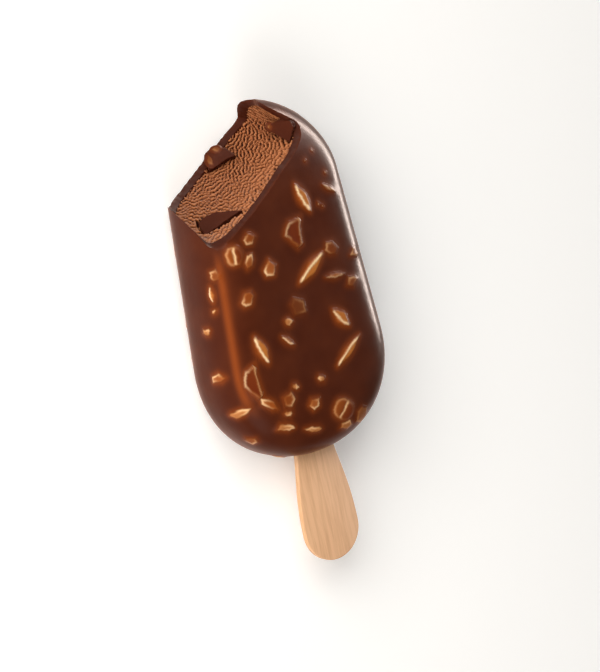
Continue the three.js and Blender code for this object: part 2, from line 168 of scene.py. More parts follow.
def pointsOf(piece):
    points = np.empty(len(piece.data.vertices) * 3)
    piece.data.vertices.foreach_get("co", points)
    return points.reshape(-1, 3)


def normalsOf(piece):
    normals = np.empty(len(piece.data.vertices) * 3, dtype=np.float32)
    piece.data.vertex_normals.foreach_get("vector", normals)
    return normals.reshape(-1, 3)


def movePoints(piece, points):
    piece.data.vertices.foreach_set("co", points.reshape(-1))
    piece.data.update()


def readNumbers(piece, name, width=1):
    values = np.empty(len(piece.data.vertices) * width, dtype=np.float32)
    piece.data.attributes[name].data.foreach_get("vector" if width == 3 else "value", values)
    return values.reshape(-1, width) if width == 3 else values


def writeNumbers(piece, name, values):
    layer = piece.data.attributes.get(name) or piece.data.attributes.new(name, "FLOAT", "POINT")
    layer.data.foreach_set("value", values.astype(np.float32))


def smooth(piece, angle):
    piece.data.shade_smooth()
    piece.data.set_sharp_from_angle(angle=math.radians(angle))


def keepMaterial(piece, material):
    piece.data.materials.clear()
    piece.data.materials.append(material)
    piece.data.polygons.foreach_set("material_index", [0] * len(piece.data.polygons))


def ease(low, high, value):
    share = np.clip((value - low) / (high - low), 0, 1)
    return share * share * (3 - 2 * share)


def within(low, high, fade, value):
    # 1 between low and high, fading to 0 at each
    return ease(low, low + fade, value) * ease(-high, -high + fade, -value)


def runAlong(x, y):
    # The distance covered at each point of a line
    return np.concatenate([[0], np.cumsum(np.hypot(np.diff(x), np.diff(y)))])


def directionOf(turn):
    return math.cos(math.radians(turn)), math.sin(math.radians(turn))


# The moulded bar, in millimetres, measured from its middle

bar = {
    "length": 94.5, "width": 49.6, "thickness": 26.0,
    "widthTaper": 0.128, "thicknessTaper": 0.045,
    "topRounding": 20.0, "footRounding": 27.0, "topRoundness": 1.9, "footRoundness": 2.1,
    "faceFullness": 6.0, "edgeFullness": 2.5, "flatDepth": 0.14, "coatThickness": 1.5,
}
stick = {
    "length": 94.0, "thickness": 1.8, "neckWidth": 10.6, "endWidth": 17.2, "offset": 1.1,
    "outerEnd": -77.7, "widenFrom": -36.0, "curvePull": 15.0, "edgeRound": 0.35,
}
stickLow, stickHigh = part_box("stick")
shiftX = (stickLow[0] + stickHigh[0]) / 2 / mm - stick["offset"]
shiftY = stickLow[1] / mm - stick["outerEnd"]
curvePoints = 601  # along the outline and the edge profile
noFloor = -1.0  # lower than anything, so that a skin isn't flattened


def halfWidthAt(along):
    halfLength = bar["length"] / 2
    straight = bar["width"] / 2 * (1 - bar["widthTaper"] * along / halfLength)
    intoTop = np.clip((along - halfLength) / bar["topRounding"] + 1, 0, 1)
    intoFoot = np.clip((-along - halfLength) / bar["footRounding"] + 1, 0, 1)
    top = (1 - intoTop ** bar["topRoundness"]) ** (1 / bar["topRoundness"])
    foot = (1 - intoFoot ** bar["footRoundness"]) ** (1 / bar["footRoundness"])
    return straight * top * foot


def halfThicknessAt(along):
    return bar["thickness"] / 2 * (1 - bar["thicknessTaper"] * along / (bar["length"] / 2))


def shareAt(x, y):
    # Share of the way from the middle of a face to its rim
    halfLength = bar["length"] / 2
    low = np.maximum(np.abs(y) / halfLength, 0.01)
    high = np.full_like(low, 3.0)
    for _ in range(30):
        middle = (low + high) / 2
        inside = halfWidthAt(np.clip(y / middle, -halfLength, halfLength)) * middle > np.abs(x)
        high = np.where(inside, middle, high)
        low = np.where(inside, low, middle)
    return high


def barLevel(points):
    # Below zero inside the bar, above zero outside it
    rise = np.abs(points[:, 2]) / halfThicknessAt(points[:, 1])
    return shareAt(points[:, 0], points[:, 1]) ** bar["faceFullness"] + rise ** bar["edgeFullness"] - 1


def barSlopes(points):
    step = 0.05
    return np.stack([barLevel(points + side) - barLevel(points - side) for side in step * np.eye(3)],
                    axis=-1) / (2 * step)


def barNormals(points):
    slope = barSlopes(points)
    return slope / np.linalg.norm(slope, axis=1, keepdims=True)


def depthInside(grid):
    # How far below the bar's skin each point of a grid lies, in millimetres
    points = grid.reshape(-1, 3)
    steepness = np.linalg.norm(barSlopes(points), axis=1)
    return (-barLevel(points) / steepness).reshape(grid.shape[:-1])


def ontoBar(points, normal):
    # Slides points along one direction until they lie on the bar's surface
    step = 0.02
    for _ in range(6):
        level = barLevel(points)
        slope = (barLevel(points + step * normal) - level) / step
        points = points - np.clip(level / slope, -1, 1)[:, None] * normal
    return points


def toFrame(points):
    # From millimetres about the bar's middle to metres in the frame
    placed = np.array(points, dtype=float)
    placed[..., 2] += halfThicknessAt(placed[..., 1]) - bar["flatDepth"]
    placed[..., 0] += shiftX
    placed[..., 1] += shiftY
    return placed * mm


def fromFrame(points):
    placed = np.array(points, dtype=float) / mm
    placed[..., 0] -= shiftX
    placed[..., 1] -= shiftY
    placed[..., 2] -= halfThicknessAt(placed[..., 1]) - bar["flatDepth"]
    return placed


# The bar's skin as a node tree: an outline and an edge profile, swept over a grid

def curveOf(tree, position, count):
    line = addNode(tree, "GeometryNodeMeshLine", {"Count": count})
    placed = addNode(tree, "GeometryNodeSetPosition", {"Geometry": line.outputs[0], "Position": position})
    return addNode(tree, "GeometryNodeMeshToCurve", {"Mesh": placed.outputs[0]}).outputs[0]


def sampleCurve(tree, curve, factor):
    node = addNode(tree, "GeometryNodeSampleCurve", mode="FACTOR", use_all_curves=True)
    fill(tree, node.inputs["Curves"], curve)
    fill(tree, node.inputs["Factor"], factor)
    parts = addNode(tree, "ShaderNodeSeparateXYZ", {0: node.outputs["Position"]})
    return [Formula(tree, socket) for socket in parts.outputs]


def combine(tree, x, y, z=0.0):
    return addNode(tree, "ShaderNodeCombineXYZ", {0: x, 1: y, 2: z}).outputs[0]


def makeBarTree(material):
    lengths = ("length", "width", "thickness", "topRounding", "footRounding", "flatDepth")
    numbers = {name: bar[name] * mm if name in lengths else bar[name] for name in bar}
    numbers.update({"inset": 0.0, "lowest": 0.0, "shiftX": 0.0, "shiftY": 0.0, "columns": 400, "rows": 120})
    tree, _, n = startTree("mouldedBar", numbers)
    step = Formula(tree, addNode(tree, "GeometryNodeInputIndex").outputs[0]) / (curvePoints - 1)
    halfLength = n["length"] * 0.5
    inset = n["inset"]

    along = -(halfLength - inset) * (step * 2 * math.pi).cos()
    topReach = n["topRounding"] - inset
    footReach = n["footRounding"] - inset
    intoTop = ((along - halfLength + inset) / topReach + 1).atLeast(0.0).atMost(1.0)
    intoFoot = ((-along - halfLength + inset) / footReach + 1).atLeast(0.0).atMost(1.0)
    top = (1 - intoTop ** n["topRoundness"]).atLeast(0.0) ** (1 / n["topRoundness"])
    foot = (1 - intoFoot ** n["footRoundness"]).atLeast(0.0) ** (1 / n["footRoundness"])
    straight = n["width"] * 0.5 * (1 - n["widthTaper"] * along / halfLength) - inset
    outline = curveOf(tree, combine(tree, (0.5 - step).sign() * straight * top * foot, along), curvePoints)

    angle = step * math.pi
    share = angle.sin().atLeast(0.0) ** (2 / n["faceFullness"])
    rise = angle.cos().sign() * abs(angle.cos()) ** (2 / n["edgeFullness"])
    profileAt = combine(tree, share * n["width"] * 0.5, rise * n["thickness"] * 0.5)
    profile = curveOf(tree, profileAt, curvePoints)

    sheet = addNode(tree, "GeometryNodeMeshGrid", {
        "Size X": 1.0, "Size Y": 1.0, "Vertices X": n["columns"], "Vertices Y": n["rows"]})
    spot = addNode(tree, "ShaderNodeSeparateXYZ", {0: addNode(tree, "GeometryNodeInputPosition").outputs[0]})
    around = Formula(tree, spot.outputs[0]) + 0.5
    over = Formula(tree, spot.outputs[1]) + 0.5
    outX, outY, _ = sampleCurve(tree, outline, around)
    edgeX, edgeY, _ = sampleCurve(tree, profile, over)
    share = edgeX / (n["width"] * 0.5)
    y = outY * share
    halfThickness = n["thickness"] * 0.5 * (1 - n["thicknessTaper"] * y / halfLength)
    height = edgeY / (n["thickness"] * 0.5) * (halfThickness - inset) + halfThickness - n["flatDepth"]
    place = combine(tree, outX * share + n["shiftX"], y + n["shiftY"], height.atLeast(n["lowest"]))
    swept = addNode(tree, "GeometryNodeSetPosition", {"Geometry": sheet.outputs[0], "Position": place})
    closed = addNode(tree, "GeometryNodeMergeByDistance", {"Geometry": swept.outputs[0], "Distance": 2e-6})
    outward = addNode(tree, "GeometryNodeFlipFaces", {"Mesh": closed.outputs[0]})
    return endTree(tree, outward.outputs[0], material)


def barSkin(name, tree, inset, lowest, columns, rows):
    piece = newPiece(name)
    applyTree(piece, tree, {
        "inset": inset * mm, "lowest": lowest, "shiftX": shiftX * mm, "shiftY": shiftY * mm,
        "columns": columns, "rows": rows})
    return piece


# The bite, in its own directions: across runs along the line of teeth, deep into the bar

bite = {
    "turn": 36.0, "depth": -22.1, "slant": 0.344, "bowl": 0.028, "arcRise": 4.0, "roundness": 2.3,
    "nearWall": -6.1, "nearWallSlant": -0.36, "farWall": 31.0, "farWallBow": 0.02, "farWallLean": 0.035,
    "wallLength": 26.0, "wallShare": 0.25, "sectionLength": 92.0, "margin": 2.0,
}


def turnBite(x, y):
    # From the bar's directions to the bite's own, and the same way back
    turn = math.radians(bite["turn"])
    return x * math.cos(turn) + y * math.sin(turn), x * math.sin(turn) - y * math.cos(turn)


def biteWalls(height):
    # Where the bottom and the two side walls of the bite lie at a height
    bottom = bite["depth"] + bite["slant"] * height - bite["bowl"] * height ** 2
    near = bite["nearWall"] + bite["nearWallSlant"] * height
    far = bite["farWall"] - (bite["farWallBow"] * height ** 2 if height < 0 else 0)
    return bottom, near, far


def biteSection(height, columns):
    # Down one wall, round the arc and up the other, with even steps
    bottom, near, far = biteWalls(height)
    lean = bite["farWallLean"] * max(height, 0)
    elbow = bottom - bite["arcRise"]
    share = bite["wallShare"]
    t = np.linspace(0, 1, 801)
    up = bite["wallLength"] * np.clip(1 - (1 - t) / share, 0, 1)
    down = bite["wallLength"] * np.clip(1 - t / share, 0, 1)
    angle = (np.clip((t - share) / (1 - 2 * share), 0, 1) - 0.5) * math.pi
    power = 2 / bite["roundness"]
    across = np.sign(angle) * np.abs(np.sin(angle)) ** power
    deep = np.maximum(np.cos(angle), 0) ** power
    x = (near + far) / 2 + across * (far - near) / 2 - lean * up
    y = elbow + bite["arcRise"] * np.where(down + up > 0, 0, deep) - down - up
    run = runAlong(x, y)
    even = np.linspace(0, run[-1], columns)
    return np.interp(even, run, x), np.interp(even, run, y)


def biteSheet(step):
    # A grid of points over the bite, in millimetres about the bar's middle
    reach = bar["thickness"] / 2 + bite["margin"]
    rows = round(2 * reach / step) + 1
    columns = round(bite["sectionLength"] / step) + 1
    grid = np.empty((rows, columns, 3))
    for row, height in enumerate(np.linspace(-reach, reach, rows)):
        grid[row, :, 0], grid[row, :, 1] = turnBite(*biteSection(height, columns))
        grid[row, :, 2] = height
    return grid


def sheetNormals(grid):
    # Pointing out of the bar, into the bite
    alongRow = np.gradient(grid, axis=1)
    alongColumn = np.gradient(grid, axis=0)
    normals = np.cross(alongColumn, alongRow)
    return normals / np.linalg.norm(normals, axis=-1, keepdims=True)


def bandNoise(shape, step, spacing, lengthening, turn, seed):
    # Even waves of one spacing, drawn out along one direction, from seeded white noise
    noise = np.random.default_rng(seed).standard_normal(shape)
    up = np.fft.fftfreq(shape[0], step)[:, None]
    across = np.fft.fftfreq(shape[1], step)[None, :]
    angle = math.radians(turn)
    alongWave = across * math.cos(angle) + up * math.sin(angle)
    acrossWave = up * math.cos(angle) - across * math.sin(angle)
    band = np.exp(-((np.abs(acrossWave) * spacing - 1) / 0.32) ** 2)
    band = band * np.exp(-(alongWave * spacing * lengthening) ** 2)
    waves = np.fft.ifft2(np.fft.fft2(noise) * band).real
    return waves / waves.std()


# The camera, at the photograph's viewing angle. Angles are about the bar's own directions.

photo = {
    "aside": 32.0, "overTop": 8.0, "roll": 12.3, "distance": 0.6,
    "focalPixels": 2293.0, "middlePixel": (272.7, 278.0), "size": (600, 672), "barTilt": -0.71,
}


def makeCamera():
    aside, overTop, roll = (math.radians(photo[name]) for name in ("aside", "overTop", "roll"))
    flat = math.cos(overTop)
    back = Vector((-math.sin(aside) * flat, math.sin(overTop), math.cos(aside) * flat))
    level = Vector((math.cos(aside), 0, math.sin(aside)))
    lift = back.cross(level)
    right = math.cos(roll) * level - math.sin(roll) * lift
    up = math.sin(roll) * level + math.cos(roll) * lift
    facing = Matrix((right, up, back)).transposed()
    facing = Matrix.Rotation(math.radians(photo["barTilt"]), 3, "X") @ facing
    middle = Vector(toFrame(np.zeros(3)))
    width, height = photo["size"]
    x, y = photo["middlePixel"]
    toMiddle = Vector((x - width / 2, height / 2 - y, -photo["focalPixels"])).normalized()
    aimed = facing @ toMiddle.rotation_difference(Vector((0, 0, -1))).to_matrix()
    lens = bpy.data.cameras.new("photoCamera")
    lens.sensor_fit = "VERTICAL"
    lens.sensor_height = 36
    lens.lens = photo["focalPixels"] / height * lens.sensor_height
    camera = bpy.data.objects.new("photoCamera", lens)
    camera.matrix_world = aimed.to_4x4()
    camera.location = middle + facing.col[2] * photo["distance"]
    drawing.objects.link(camera)
    bpy.context.scene.camera = camera


# Nut pieces, as listed for the bar but for the lower half nut, whose groove is turned: kind, across,
# along, length, width, turn, and how bare each shows, from 0, under the chocolate, to 1, clean

faceNuts = [
    ("sliver", 6, 19.9, 8.4, 3, -69, 1.0), ("sliver", 14.9, 20.4, 4.7, 1.3, -36, 0.35),
    ("skin", 1, 12.1, 7, 5.5, -95, 0.7), ("chip", -12.4, 13.6, 3.7, 3.5, -123, 0.6),
    ("half", -17.4, 10.4, 5, 4.5, -92, 0.8), ("chip", -13.9, 8, 4, 2.8, -121, 0.7),
    ("chip", -8.5, 4.9, 4.5, 4.3, -129, 0.95), ("chip", -16.7, -1.1, 4.8, 3.3, -124, 0.7),
    ("sliver", 4, 1.9, 11.2, 3.2, 33, 1.0), ("chip", 11.1, 5.4, 4, 4, -66, 0.3),
    ("chip", 18.8, 2.3, 2.9, 3.7, -94, 0.35), ("sliver", 10.6, -1.9, 6.1, 1.6, -5, 0.35),
    ("chip", 15.7, -4.7, 3.1, 3.8, -81, 0.35), ("sliver", 9.6, -12.9, 6.8, 3.4, -53, 0.85),
    ("sliver", 9.7, -21.9, 10.8, 2.5, 35, 0.9), ("chip", -6.4, -9.7, 2.4, 2, -15, 0.6),
    ("sliver", -7.9, -14.3, 4.3, 1.3, -44, 0.7), ("sliver", -15.9, -14.6, 8.2, 3, -72, 1.0),
    ("skin", -20.2, -22, 8.3, 4.4, -83, 0.9), ("chip", -16.7, -28.7, 5.8, 2.3, -40, 0.9),
    ("chip", -11, -29.4, 4.5, 3.9, -69, 0.6), ("chip", -0.3, -26.6, 2.5, 1.8, -16, 0.6),
    ("chip", -3.8, -32.2, 3.4, 3.4, -101, 0.9), ("half", 5.1, -36.5, 5.6, 7, 50, 0.7),
    ("chip", 5.9, -41, 4.8, 2.7, -17, 0.6), ("chip", 11.8, -39.8, 5.5, 5, -75, 0.3),
    ("chip", -13.1, -36.1, 5.8, 2.3, -16, 0.8), ("chip", -4.6, -39.1, 5.8, 1.8, -17, 0.6),
    ("chip", -2.5, -7, 5.5, 4.5, -51, 0.15),
]
# Crumbs too small for the bar's own list, the same way
crumbs = [
    ("chip", -8.5, -26.4, 2.1, 1.5, -20, 0.7), ("chip", -11.9, -32.6, 2.7, 1.6, -15, 0.7),
    ("chip", 12.8, 30.9, 0.6, 0.5, 0, 0.5), ("chip", 10.4, 17.3, 0.9, 0.6, -60, 0.5),
    ("chip", 15, 24.5, 0.6, 0.6, 0, 0.6), ("chip", 9.7, 28.9, 0.5, 0.5, 0, 0.4),
    ("chip", 11.5, 16.5, 0.6, 0.5, 0, 0.5),
]
# On the left side: kind, along, height, length, width, turn, bareness. The fifth stands upright,
# unlike the one listed for the bar, and the last is a crumb.
sideNuts = [
    ("chip", 7.2, 8.9, 3.3, 3.2, 10, 0.5), ("sliver", 1.9, 7.4, 4.2, 1.6, 0, 0.9),
    ("chip", -7.7, 3.8, 3.6, 1.9, 80, 0.6), ("chip", -20.1, 5.1, 5, 2.5, 80, 0.8),
    ("chip", -31.2, 8, 6.6, 2.5, 88, 0.8), ("chip", -38.6, 5.5, 3.6, 3, 60, 0.5),
    ("chip", -2.6, 7.5, 1.7, 1.1, 70, 0.6),
]
strewnNuts = {
    "seed": 4127, "wanted": 30, "tries": 1200, "apart": 8.5, "topHeight": 4, "lowHeight": -11,
    "length": (3, 7), "width": (2, 3.8), "sliverShare": 0.4, "clearOfBite": 4.5, "clearOfStick": 12,
    "listedAcross": -12, "listedLowest": -10.5, "listedAlong": 26, "riseShare": 0.6,
    "bareLow": 0.35, "bareRange": 0.6, "bareStep": 0.618, "firstSeed": 100,
}
nut = {
    "rise": {"chip": 0.6, "sliver": 0.65, "skin": 0.7, "half": 0.8},
    "relief": {"chip": 0.14, "sliver": 0.16, "skin": 0.18, "half": 0.22},
    "bodyDepth": 0.5, "reach": 0.6, "lift": 0.03, "dive": 0.12,
    "swellShare": 0.35, "swellReach": 1.6, "glowReach": 0.95, "ragged": 0.11,
    "halfFullness": 2.3, "sliverPoint": 1.7, "patchShare": 1.06,
    "crumbSeed": 300, "flakeSeed": 200, "lookSeed": 500, "fullRiseFrom": 3,
    "skinCorners": ((-1.03, 1.08), (-0.76, -0.42), (-0.38, -0.8), (0.09, -1.04), (1.22, 0.26),
                    (0.99, 0.8), (0.3, 0.74), (-0.4, 0.78)),
}


def drawFrom(seed):
    # A seeded draw between 0 and 1
    state = seed
    while True:
        state = state * 16807 % 2147483647
        yield state / 2147483647


def pointOnFace(x, y):
    share = shareAt(np.array([x]), np.array([y]))[0]
    rise = max(1 - share ** bar["faceFullness"], 0) ** (1 / bar["edgeFullness"])
    return np.array([x, y, rise * halfThicknessAt(y)])


def pointOnEdge(x, y, height):
    rise = abs(height) / halfThicknessAt(y)
    share = (1 - rise ** bar["edgeFullness"]) ** (1 / bar["faceFullness"])
    return np.array([x * share, y * share, height])


def clearOfBite(point):
    across, deep = turnBite(point[0], point[1])
    bottom, near, far = biteWalls(point[2])
    return max(near - across, across - far, deep - bottom)


def makeSite(kind, point, heading, length, width, riseShare, bare, seed):
    normal = barNormals(point[None])[0]
    along = np.array(heading) - np.dot(heading, normal) * normal
    along = along / np.linalg.norm(along)
    return {
        "kind": kind, "point": point, "normal": normal, "along": along, "beside": np.cross(normal, along),
        "length": length, "width": width, "rise": nut["rise"][kind] * riseShare, "bare": bare, "seed": seed,
        "onBar": True,
    }


def faceSites(rows, firstSeed, fullRiseFrom):
    # Pieces shorter than fullRiseFrom rise less
    sites = []
    for kind, x, y, length, width, turn, bare in rows:
        heading = directionOf(turn) + (0,)
        share = min(length / fullRiseFrom, 1)
        seed = firstSeed + len(sites)
        sites.append(makeSite(kind, pointOnFace(x, y), heading, length, width, share, bare, seed))
    return sites


def sideSites(firstSeed):
    sites = []
    share = strewnNuts["riseShare"]
    for kind, along, height, length, width, turn, bare in sideNuts:
        point = pointOnEdge(-halfWidthAt(along), along, height)
        heading = (0,) + directionOf(turn)
        seed = firstSeed + len(sites)
        sites.append(makeSite(kind, point, heading, length, width, share, bare, seed))
    return sites


def strewnSites(taken):
    draw = drawFrom(strewnNuts["seed"])
    step = np.linspace(0, 1, curvePoints)
    outY = -bar["length"] / 2 * np.cos(2 * math.pi * step)
    outX = np.where(step < 0.5, 1, -1) * halfWidthAt(outY)
    run = runAlong(outX, outY)
    sites = []
    for _ in range(strewnNuts["tries"]):
        if len(sites) >= strewnNuts["wanted"]:
            break
        t = np.interp(next(draw) * run[-1], run, step)
        y = -bar["length"] / 2 * math.cos(2 * math.pi * t)
        x = (1 if t < 0.5 else -1) * halfWidthAt(y)
        low, high = strewnNuts["lowHeight"], strewnNuts["topHeight"]
        height = low + (high - low) * next(draw)
        length = np.interp(next(draw), (0, 1), strewnNuts["length"])
        width = np.interp(next(draw), (0, 1), strewnNuts["width"])
        heading = (next(draw) - 0.5, next(draw) - 0.5, next(draw) - 0.5)
        kind = "sliver" if next(draw) < strewnNuts["sliverShare"] else "chip"
        point = pointOnEdge(x, y, height)
        near = any(np.linalg.norm(site["point"] - point) < strewnNuts["apart"] for site in taken + sites)
        listed = (point[0] < strewnNuts["listedAcross"] and height > strewnNuts["listedLowest"]
                  and point[1] < strewnNuts["listedAlong"])
        toStick = math.hypot(point[0] - stick["offset"], point[1] + bar["length"] / 2)
        if near or listed or toStick < strewnNuts["clearOfStick"]:
            continue
        if clearOfBite(point) < strewnNuts["clearOfBite"]:
            continue
        bare = strewnNuts["bareLow"] + strewnNuts["bareRange"] * (len(sites) * strewnNuts["bareStep"] % 1)
        seed = strewnNuts["firstSeed"] + len(sites)
        sites.append(makeSite(kind, point, heading, length, width, strewnNuts["riseShare"], bare, seed))
    return sites


def outlineOf(site):
    # The nut's outline on its own plane, in millimetres
    if site["kind"] == "skin":
        corners = np.array(nut["skinCorners"])
    elif site["kind"] == "half":
        angle = np.linspace(0, 2 * math.pi, 24, endpoint=False)
        power = 2 / nut["halfFullness"]
        corners = np.column_stack([np.sign(f(angle)) * np.abs(f(angle)) ** power for f in (np.cos, np.sin)])
    elif site["kind"] == "sliver":
        along = np.linspace(-1, 1, 13)
        bulge = 1 - np.abs(along) ** nut["sliverPoint"]
        corners = np.vstack([np.column_stack([along, bulge]), np.column_stack([-along, -bulge])[1:-1]])
    else:
        draw = np.random.default_rng(site["seed"])
        count = 5 + site["seed"] % 2
        angle = (np.arange(count) + draw.uniform(-0.25, 0.25, count)) * 2 * math.pi / count
        reach = draw.uniform(0.85, 1.12, count)
        corners = np.column_stack([reach * np.cos(angle), reach * np.sin(angle)])
    return corners * (site["length"] / 2, site["width"] / 2)


def insideOf(spots, corners):
    # Distance to an outline, above zero inside it
    following = np.roll(corners, -1, axis=0)
    side = following - corners + 1e-9
    toSpot = spots[:, None, :] - corners
    share = np.clip((toSpot * side).sum(axis=-1) / (side ** 2).sum(axis=-1), 0, 1)
    away = np.linalg.norm(toSpot - share[..., None] * side, axis=-1).min(axis=1)
    level = spots[:, None, 1]
    crossed = (corners[:, 1] > level) != (following[:, 1] > level)
    crossed &= toSpot[..., 0] < toSpot[..., 1] * side[:, 0] / side[:, 1]
    return np.where(crossed.sum(axis=1) % 2 == 1, away, -away)


def nearSite(points, site):
    # Which points lie round a nut, their places on its plane, and their distance inside its outline
    away = points - site["point"]
    spots = np.column_stack([away @ site["along"], away @ site["beside"]])
    reach = np.array([site["length"], site["width"]]) / 2 + 3
    near = (np.abs(spots) < reach).all(axis=1) & (np.abs(away @ site["normal"]) < 3)
    return near, insideOf(spots[near], outlineOf(site))


def swellOver(points, sites):
    # How far the chocolate swells over the nuts under it
    height = np.zeros(len(points))
    for site in sites:
        near, edge = nearSite(points, site)
        swell = site["rise"] * nut["swellShare"] * ease(-nut["swellReach"], 0.8, edge)
        height[near] = np.maximum(height[near], swell)
    return height


def glowNear(points, sites):
    nutOrangeAndRidgeHighlight = np.zeros(len(points))
    for site in sites:
        near, edge = nearSite(points, site)
        halo = (0.12 + 0.4 * site["bare"]) * np.exp(-(np.minimum(edge, 0) / nut["glowReach"]) ** 2)
        nutOrangeAndRidgeHighlight[near] = np.maximum(nutOrangeAndRidgeHighlight[near], halo)
    return nutOrangeAndRidgeHighlight


def raggedOf(spots, draw):
    # A small seeded wobble, so that no edge is quite straight
    wobble = np.zeros_like(spots)
    for pace in (2.3, 4.1, 7.7):
        turn = draw.uniform(0, 2 * math.pi, 4)
        way = spots @ np.array([math.cos(turn[0]), math.sin(turn[0])])
        wobble += np.column_stack([np.sin(pace * way + turn[1]), np.sin(pace * way + turn[2])]) / pace ** 0.5
    return wobble * nut["ragged"]


def nutLook(site, spots):
    # Relief in millimetres and the share of each colour, at places on the nut's plane
    draw = np.random.default_rng(site["seed"] + nut["lookSeed"])
    spots = spots + raggedOf(spots, draw)
    a, b = spots[:, 0] / (site["length"] / 2), spots[:, 1] / (site["width"] / 2)
    edge = insideOf(spots, outlineOf(site))
    shown = ease(-0.3, 0.35, edge)
    rim = np.exp(-((edge - 0.3) / 0.32) ** 2)
    # The nut's side toward −X, where the lamps stand: the sliver's cream crest, partly a painted highlight,
    # and the half nut's painted shade follow it
    paintedLitSide = -1 if site["beside"][0] > 0 else 1
    red = np.zeros(len(spots))
    plateau = ease(-0.15, 0.6, edge)
    amber = 0.55 + 0.45 * plateau
    if site["kind"] == "sliver":
        crest = paintedLitSide * 0.3 * (1 - a ** 2)
        toCrest = (b - crest) * site["width"] / 2
        line = np.exp(-(toCrest / (0.16 + 0.055 * site["width"])) ** 2) * (1 - ease(0.75, 1.0, np.abs(a)))
        flank = ease(-0.2, 0.35, -paintedLitSide * toCrest)
        relief = plateau + 0.7 * line
        cream = line
        gold = 0.1 + 0.5 * flank * plateau + 0.3 * line
    elif site["kind"] == "skin":
        # Painted highlight: cream along the shard's upper-left rim
        paintedHighlightSide = np.clip(-0.5 * a - 0.8 * b, 0, 1)
        right = ease(0.4, 0.8, b)
        red = 0.85 * ease(0.2, 0.9, edge) * (0.75 + 0.25 * a)
        relief = plateau * (1 - 0.6 * ease(0.2, 1.4, edge))
        cream = rim * (0.02 + 0.75 * paintedHighlightSide + 0.3 * right)
        gold = rim * (0.2 + 0.55 * right)
        amber = 0.45 * np.ones(len(spots))
    elif site["kind"] == "half":
        groove = np.exp(-(b * site["width"] / 2 / 0.3) ** 2) * (1 - ease(0.7, 0.95, np.abs(a)))
        # Painted shade: the half nut darkens to red-brown on its side away from the lamps
        paintedShade = ease(-0.9, 0.9, -paintedLitSide * b)
        red = 0.1 + 0.7 * paintedShade * ease(0, 0.5, edge)
        relief = ease(-0.15, 1.2, edge) - 0.6 * groove
        cream = groove * 0.9 + 0.2 * rim * (1 - paintedShade)
        gold = 0.5 * rim * (1 - 0.8 * paintedShade) + groove + 0.15 * (1 - paintedShade)
    else:
        heading = draw.uniform(0, 2 * math.pi)
        facing = 0.5 + 0.5 * np.cos(np.arctan2(b, a) - heading)
        pale = draw.choice([0.05, 0.12, 0.5]) if site["width"] > 2.2 else 0.7
        relief = plateau * (1 + 0.25 * draw.choice([-1, 1]) * a)
        slope = a * math.cos(heading) + b * math.sin(heading)
        cream = 0.8 * rim * facing ** 2 + 0.2 * pale * plateau
        gold = rim * (0.08 + 0.75 * facing) + plateau * (pale + 0.3 * ease(-0.1, 1, slope))
    clear = 0.12 + 0.88 * site["bare"]
    relief = relief * nut["relief"][site["kind"]] * (0.4 + 0.6 * site["bare"])
    cream = cream * site["bare"] ** 0.5
    return edge, relief, [shown * share for share in (amber * clear, red, gold * clear, cream * clear)]


def makeNutTree(kind, material):
    # Sets a round lens on every point: most of its rings on top, where the nut shows
    tree, entry, n = startTree(kind + "Nuts", {"segments": 48, "rings": 20, "topShare": 0.8})
    ball = addNode(tree, "GeometryNodeMeshUVSphere", {
        "Segments": n["segments"], "Rings": n["rings"], "Radius": 1.0})
    spot = addNode(tree, "ShaderNodeSeparateXYZ", {0: addNode(tree, "GeometryNodeInputPosition").outputs[0]})
    x, y, z = [Formula(tree, socket) for socket in spot.outputs]
    fall = z.atLeast(-1.0).atMost(1.0).work("ARCCOSINE", z) / math.pi
    girth = (1 - z * z).atLeast(1e-6).root()
    radius = (fall / n["topShare"]).work("MINIMUM", fall / n["topShare"], (1 - fall) / (1 - n["topShare"]))
    level = (n["topShare"] - fall).sign() * (1 - radius)
    place = combine(tree, x / girth * radius, y / girth * radius, level)
    lens = addNode(tree, "GeometryNodeSetPosition", {"Geometry": ball.outputs[0], "Position": place})
    marked = addNode(tree, "GeometryNodeStoreNamedAttribute", {
        "Geometry": lens.outputs[0], "Name": "local"}, data_type="FLOAT_VECTOR", domain="POINT")
    fill(tree, marked.inputs["Value"], addNode(tree, "GeometryNodeInputPosition").outputs[0])
    turn = addNode(tree, "GeometryNodeInputNamedAttribute", {"Name": "turn"}, data_type="FLOAT_VECTOR")
    size = addNode(tree, "GeometryNodeInputNamedAttribute", {"Name": "size"}, data_type="FLOAT_VECTOR")
    turned = addNode(tree, "FunctionNodeEulerToRotation", {0: turn.outputs["Attribute"]})
    strewn = addNode(tree, "GeometryNodeInstanceOnPoints", {
        "Points": entry.outputs["Geometry"], "Instance": marked.outputs[0],
        "Rotation": turned.outputs[0], "Scale": size.outputs["Attribute"]})
    even = addNode(tree, "GeometryNodeSetShadeSmooth", {"Geometry": strewn.outputs[0]})
    return endTree(tree, even.outputs[0], material)


